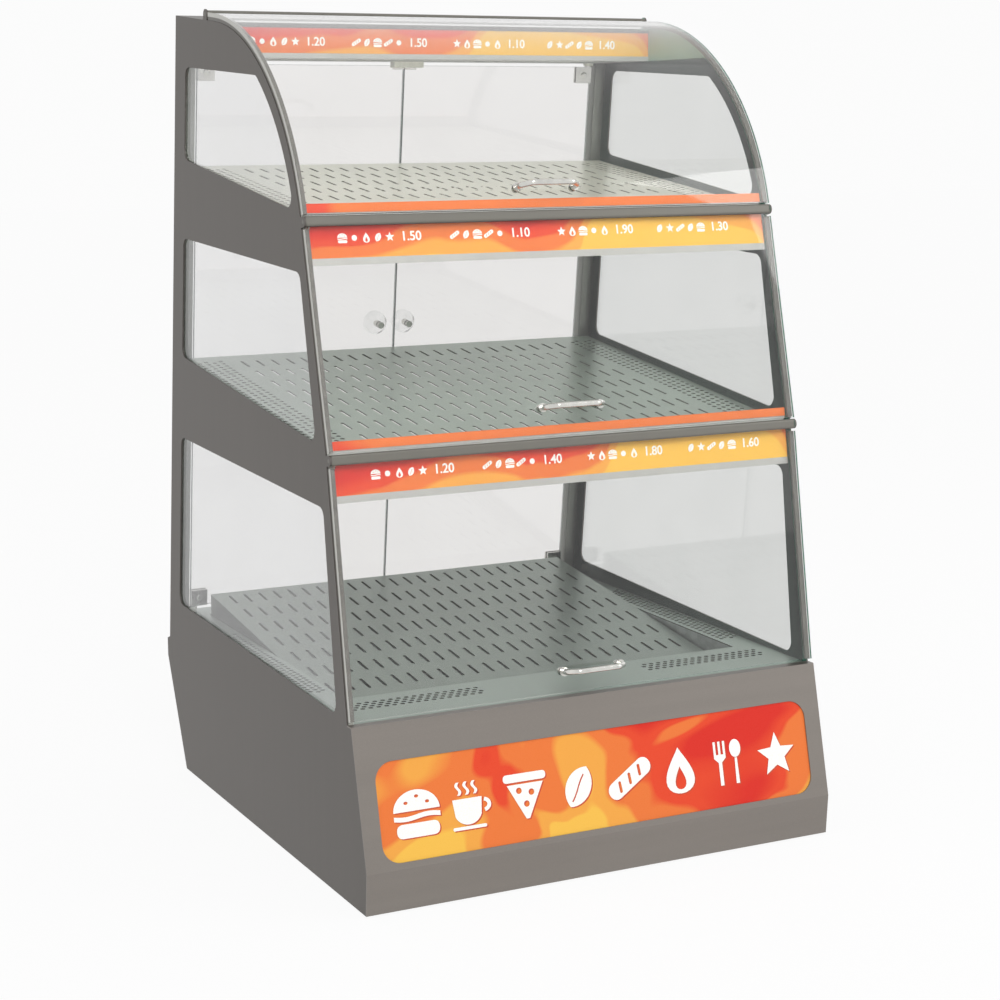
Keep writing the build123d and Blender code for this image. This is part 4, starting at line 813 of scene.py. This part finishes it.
def setOnPoints(name, body, parts, spots, picks, size, finish):
    # one plain mesh of all the parts, riding on its body
    kit = bpy.data.collections.new(name + "Kit")
    bpy.context.scene.collection.children.link(kit)
    for index, mesh in enumerate(parts):
        kit.objects.link(bpy.data.objects.new(f"{name}Part{index:02d}", mesh))
    points = bpy.data.meshes.new(name + "Points")
    points.from_pydata([tuple(spot.translation) for spot in spots], [], [])
    for label, kind in (("spin", "FLOAT_VECTOR"), ("pick", "INT")):
        points.attributes.new(label, kind, "POINT")
    for index, spot in enumerate(spots):
        points.attributes["spin"].data[index].vector = tuple(spot.to_euler())
        points.attributes["pick"].data[index].value = picks[index % len(picks)]
    source = bpy.data.objects.new(name + "Source", points)
    bpy.context.collection.objects.link(source)
    modifier = source.modifiers.new("parts", "NODES")
    modifier.node_group = onPointsTree
    values = {"Parts": kit, "Size": size, "Finish": finish}
    for item in onPointsTree.interface.items_tree:
        if item.in_out == "INPUT" and item.name in values:
            modifier[item.identifier] = values[item.name]
    mesh = bpy.data.meshes.new_from_object(source.evaluated_get(bpy.context.evaluated_depsgraph_get()))
    bpy.data.objects.remove(source)
    for part in list(kit.objects):
        bpy.data.objects.remove(part)
    bpy.data.collections.remove(kit)
    piece = bpy.data.objects.new(name, mesh)
    bpy.context.collection.objects.link(piece)
    mesh.materials.clear()  # the empty slots that the parts bring
    mesh.materials.append(finish)
    for polygon in mesh.polygons:
        polygon.material_index = 0
    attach(piece, body)


# White motifs of the sign, with a darker print behind them
signMotifs = {
    "shapes": (bunShape, cupShape, sliceShape, leafShape, loafShape, flameShape, cutleryShape, starShape),
    "size": 0.053,
    "pitch": 0.069,
    "drop": 0.005,  # below the middle of the sign
    "shadow": (0.0016, -0.0014),
    "layerGap": 0.00005,
    "gauge": 0.002,  # of the sign plate
}


def makeSignMotifs(settings):
    face = leaningFace("base_sign", rakes["sign"], settings["gauge"])[0]
    size, count = settings["size"], len(settings["shapes"])
    places = [(index - (count - 1) / 2) * settings["pitch"] for index in range(count)]
    parts = [plateMesh(f"motif{index}", shape(), size) for index, shape in enumerate(settings["shapes"])]
    for label, ink, slide, lift in (
        ("signShade", shadeInk, settings["shadow"], printLift),
        ("signMotifs", whiteInk, (0.0, 0.0), printLift + printGauge + settings["layerGap"]),
    ):
        spots = [shifted(face, x + slide[0], slide[1] - settings["drop"], lift) for x in places]
        setOnPoints(label, "case", parts, spots, range(count), size, ink)


# Rows of small white marks on the lit strips, each group followed by a plain number
stripMarks = {
    "shapes": (bunShape, leafShape, dotShape, flameShape, loafShape, starShape),
    "order": (0, 2, 3, 1, 5, 4, 1, 0, 4, 2, 5, 3),
    "size": 0.0112,
    "pitch": 0.0146,
    "marks": 5,
    "numberSize": 0.0150,
    "numberGap": 0.024,
    "gauge": 0.0015,  # of the film
    "films": {  # node, rake, and how far above its middle the marks are, as a share of its height
        "lower": ("strip_film_lower", rakes["lower"], 0.04),
        "upper": ("strip_film_upper", rakes["upper"], 0.04),
        "header": ("header_film", 0.0, 0.0),
    },
    "groups": {  # about the middle of the marks, and the number after them
        "lower": ((-0.215, "1.20"), (-0.075, "1.40"), (0.062, "1.80"), (0.200, "1.60")),
        "upper": ((-0.225, "1.50"), (-0.085, "1.10"), (0.055, "1.90"), (0.190, "1.30")),
        "header": ((-0.220, "1.20"), (-0.080, "1.50"), (0.060, "1.10"), (0.195, "1.40")),
    },
}


def makeStripMarks(settings):
    size, numberSize = settings["size"], settings["numberSize"]
    pitch, marks = settings["pitch"], settings["marks"]
    toNumber = pitch * marks / 2 + settings["numberGap"] / 2
    parts = [plateMesh(f"mark{index}", shape(), size) for index, shape in enumerate(settings["shapes"])]
    for strip, groups in settings["groups"].items():
        node, rake, share = settings["films"][strip]
        face, run = leaningFace(node, rake, settings["gauge"])
        rise = share * run
        spots = [
            shifted(face, start - pitch * (marks / 2 - step), rise, printLift)
            for start, text in groups
            for step in range(marks)
        ]
        order = settings["order"]
        setOnPoints(f"{strip}StripMarks", "case", parts, spots, order, size, whiteInk)
        texts = [text for start, text in groups]
        numbers = [numberMesh(f"{strip}Number{index}", text, numberSize) for index, text in enumerate(texts)]
        spots = [shifted(face, start + toNumber, rise, printLift) for start, text in groups]
        order = range(len(texts))
        name = f"{strip}StripNumbers"
        setOnPoints(name, "case", numbers, spots, order, numberSize, whiteInk)


# Screw heads on the clamps of the doors, four on each door
clampScrews = {
    "size": 0.0085,
    "height": 0.0014,
    "inset": 0.011,
    "face": 0.0055,  # from the middle of the glass to the face of the clamp
    "glass": 0.005,
    "sides": 20,
    "rings": ((0.5, 0.0), (0.5, 0.45), (0.44, 0.8), (0.3, 1.0)),  # radius and share of the height
    "crossHalfWidth": 0.05,
    "crossReach": 0.24,
    "crossTop": 1.02,  # share of the height
    "crossDepth": 0.55,
}


def screwHeadMesh(settings):
    # low dome with the walls of a cross, one unit wide, its back at z = 0
    rise = settings["height"] / settings["size"]
    work = bmesh.new()
    loops = []
    for radius, share in settings["rings"]:
        ring = ellipse((0, 0), (radius, radius), settings["sides"])
        loops.append([work.verts.new((x, y, rise * share)) for x, y in ring])
    for lower, upper in zip(loops, loops[1:]):
        for index in range(settings["sides"]):
            after = (index + 1) % settings["sides"]
            work.faces.new((lower[index], lower[after], upper[after], upper[index]))
    work.faces.new(loops[-1])
    work.faces.new(loops[0][::-1])
    half, arm = settings["crossHalfWidth"], settings["crossReach"]
    corner = [(arm, -half), (arm, half), (half, half)]
    cross = [point for quarter in range(4) for point in turned(corner, 90 * quarter)]
    top = [work.verts.new((x, y, rise * settings["crossTop"])) for x, y in cross]
    low = [work.verts.new((x, y, rise - rise * settings["crossDepth"])) for x, y in cross]
    for index in range(len(cross)):
        after = (index + 1) % len(cross)
        work.faces.new((top[after], top[index], low[index], low[after]))
    mesh = bpy.data.meshes.new("screwHead")
    work.to_mesh(mesh)
    work.free()
    return mesh


def makeClampScrews(settings):
    head = screwHeadMesh(settings)
    inset, halfGlass = settings["inset"], settings["glass"] / 2
    length = math.hypot(1.0, rakes["rear"])
    way = (-rakes["rear"] / length, 1.0 / length)
    for side, body in ((-1, "door_left"), (1, "door_right")):
        low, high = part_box(body + "_glass")
        foot = (high[1] - halfGlass * way[1], low[2] - halfGlass * way[0])
        top = (high[2] - foot[1]) / way[1] - halfGlass * rakes["rear"]
        outer = high[0] if side > 0 else low[0]
        spots = []
        for run in (inset, top - inset):
            for turn in (1, -1):  # front and rear of the glass
                origin = (outer - side * inset, foot[0] + way[0] * run, foot[1] + way[1] * run)
                spots.append(shifted(facing(origin, (turn, 0, 0), (0, *way)), z=settings["face"]))
        name = body + "_clampScrews"
        setOnPoints(name, body, [head], spots, [0], settings["size"], brightSteel)


# Scale round the dial and the marks of the rockers, on the rear bevel, seen by the operator
bevelMarks = {
    "place": (0.308275, 0.080),  # y and z of a point on the bevel
    "way": (0.419778, 0.907627),  # up the bevel
    "dialAcross": -0.170,
    "sweep": 270.0,
    "numbers": "0123456789",
    "tickRing": 0.0250,
    "tickSize": 0.0045,
    "numberRing": 0.0320,
    "numberSize": 0.0068,
    "pointerOut": 0.0184,
    "pointerReach": 0.0085,
    "pointerSize": 0.0120,
    "switchAcross": (-0.075, -0.025),
    "switchReach": 0.0205,
    "switchSize": 0.0052,
}


def makeBevelMarks(settings):
    def spotAt(across, right=0.0, up=0.0, turn=0.0):
        face = facing((across, *settings["place"]), (-1, 0, 0), (0, *settings["way"]))
        return shifted(face, right, up, printLift) @ Matrix.Rotation(turn, 4, "Z")

    dial, numbers = settings["dialAcross"], settings["numbers"]
    turns = [math.radians(settings["sweep"] * index / (len(numbers) - 1)) for index in range(len(numbers))]
    size, ring = settings["tickSize"], settings["tickRing"]
    spots = [spotAt(dial, ring * math.sin(turn), ring * math.cos(turn), -turn) for turn in turns]
    tick = plateMesh("tick", tickShape(), size)
    setOnPoints("dialTicks", "case", [tick], spots, [0], size, whiteInk)
    size, ring = settings["numberSize"], settings["numberRing"]
    spots = [spotAt(dial, ring * math.sin(turn), ring * math.cos(turn)) for turn in turns]
    digits = [numberMesh(f"dialDigit{text}", text, size) for text in numbers]
    setOnPoints("dialDigits", "case", digits, spots, range(len(numbers)), size, whiteInk)
    size = settings["pointerSize"]
    spot = shifted(spotAt(dial, up=settings["pointerReach"]), z=settings["pointerOut"])
    pointer = plateMesh("pointer", tickShape(), size)
    setOnPoints("dialPointer", "dial", [pointer], [spot], [0], size, whiteInk)
    size, reach = settings["switchSize"], settings["switchReach"]
    spots = [spotAt(across, up=side * reach) for across in settings["switchAcross"] for side in (1, -1)]
    signs = [plateMesh("onMark", tickShape(), size), plateMesh("offMark", ringShape(), size)]
    setOnPoints("switchMarks", "case", signs, spots, [0, 1], size, whiteInk)


makeSignMotifs(signMotifs)
makeStripMarks(stripMarks)
makeClampScrews(clampScrews)
makeBevelMarks(bevelMarks)
print("printed marks and screws placed")


# Floor, light and camera
def seenDirectly(tree):
    # one for camera, mirror and see-through rays
    path = addNode(tree, "ShaderNodeLightPath").outputs
    direct = maths(tree, "MAXIMUM", path["Is Camera Ray"], path["Is Glossy Ray"])
    return maths(tree, "MAXIMUM", direct, path["Is Transmission Ray"])


floorSettings = {
    "size": 30.0,
    "colour": rgba(0.86, 0.86, 0.86),
    "roughness": 0.7,
    "whiteShare": 0.92,  # the rest keeps the shadow
}


def makeFloor(settings):
    half = settings["size"] / 2
    mesh = bpy.data.meshes.new("floor")
    corners = [(-half, -half, 0), (half, -half, 0), (half, half, 0), (-half, half, 0)]
    mesh.from_pydata(corners, [], [(0, 1, 2, 3)])
    floor = bpy.data.objects.new("floor", mesh)
    bpy.context.collection.objects.link(floor)
    material, tree, shader = startMaterial("floorWhite")[:3]
    feed(tree, shader, {"Base Color": settings["colour"], "Roughness": settings["roughness"]})
    white = addNode(tree, "ShaderNodeEmission", {"Color": rgba(1.0, 1.0, 1.0), "Strength": 1.0})
    share = maths(tree, "MULTIPLY", seenDirectly(tree), settings["whiteShare"])
    mixed = addNode(tree, "ShaderNodeMixShader", {0: share, 1: shader.outputs[0], 2: white.outputs[0]})
    tree.links.new(mixed.outputs[0], tree.nodes["Material Output"].inputs["Surface"])
    mesh.materials.append(material)


lightSettings = {
    "world": 0.62,  # strength on the case
    "worldSeen": 0.97,  # strength as seen behind it
    "aim": (0.0, 0.0, 0.5),
    "lampSize": 1.6,
    "lamps": {"keyLamp": ((-0.8, -3.0, 2.5), 52.0), "fillLamp": ((2.4, -1.8, 1.8), 22.0)},  # place, watts
}


def makeLight(settings):
    world = bpy.data.worlds.new("studio")
    bpy.context.scene.world = world
    world.use_nodes = True
    tree = world.node_tree
    strength = mapped(tree, seenDirectly(tree), target=(settings["world"], settings["worldSeen"]))
    feed(tree, tree.nodes["Background"], {"Color": rgba(1.0, 1.0, 1.0), "Strength": strength})
    for name, (place, power) in settings["lamps"].items():
        lamp = bpy.data.lights.new(name, "AREA")
        lamp.size = settings["lampSize"]
        lamp.energy = power
        made = bpy.data.objects.new(name, lamp)
        bpy.context.collection.objects.link(made)
        made.location = place
        aim = Vector(settings["aim"]) - Vector(place)
        made.rotation_euler = aim.to_track_quat("-Z", "Y").to_euler()


cameraSettings = {
    "place": (-1.2106, -2.4260, 0.8950),
    "turn": 27.05,
    "tip": 10.526,
    "lens": 77.67,
    "sensor": 36.0,
    "farClip": 60.0,
}


def makeCamera(settings):
    data = bpy.data.cameras.new("camera")
    data.lens = settings["lens"]
    data.sensor_width = settings["sensor"]
    data.clip_end = settings["farClip"]
    camera = bpy.data.objects.new("camera", data)
    bpy.context.collection.objects.link(camera)
    camera.location = settings["place"]
    camera.rotation_euler = (math.radians(90 - settings["tip"]), 0.0, math.radians(-settings["turn"]))
    bpy.context.scene.camera = camera


makeFloor(floorSettings)
makeLight(lightSettings)
makeCamera(cameraSettings)
bpy.context.scene.view_settings.view_transform = "Standard"
print("stage set")
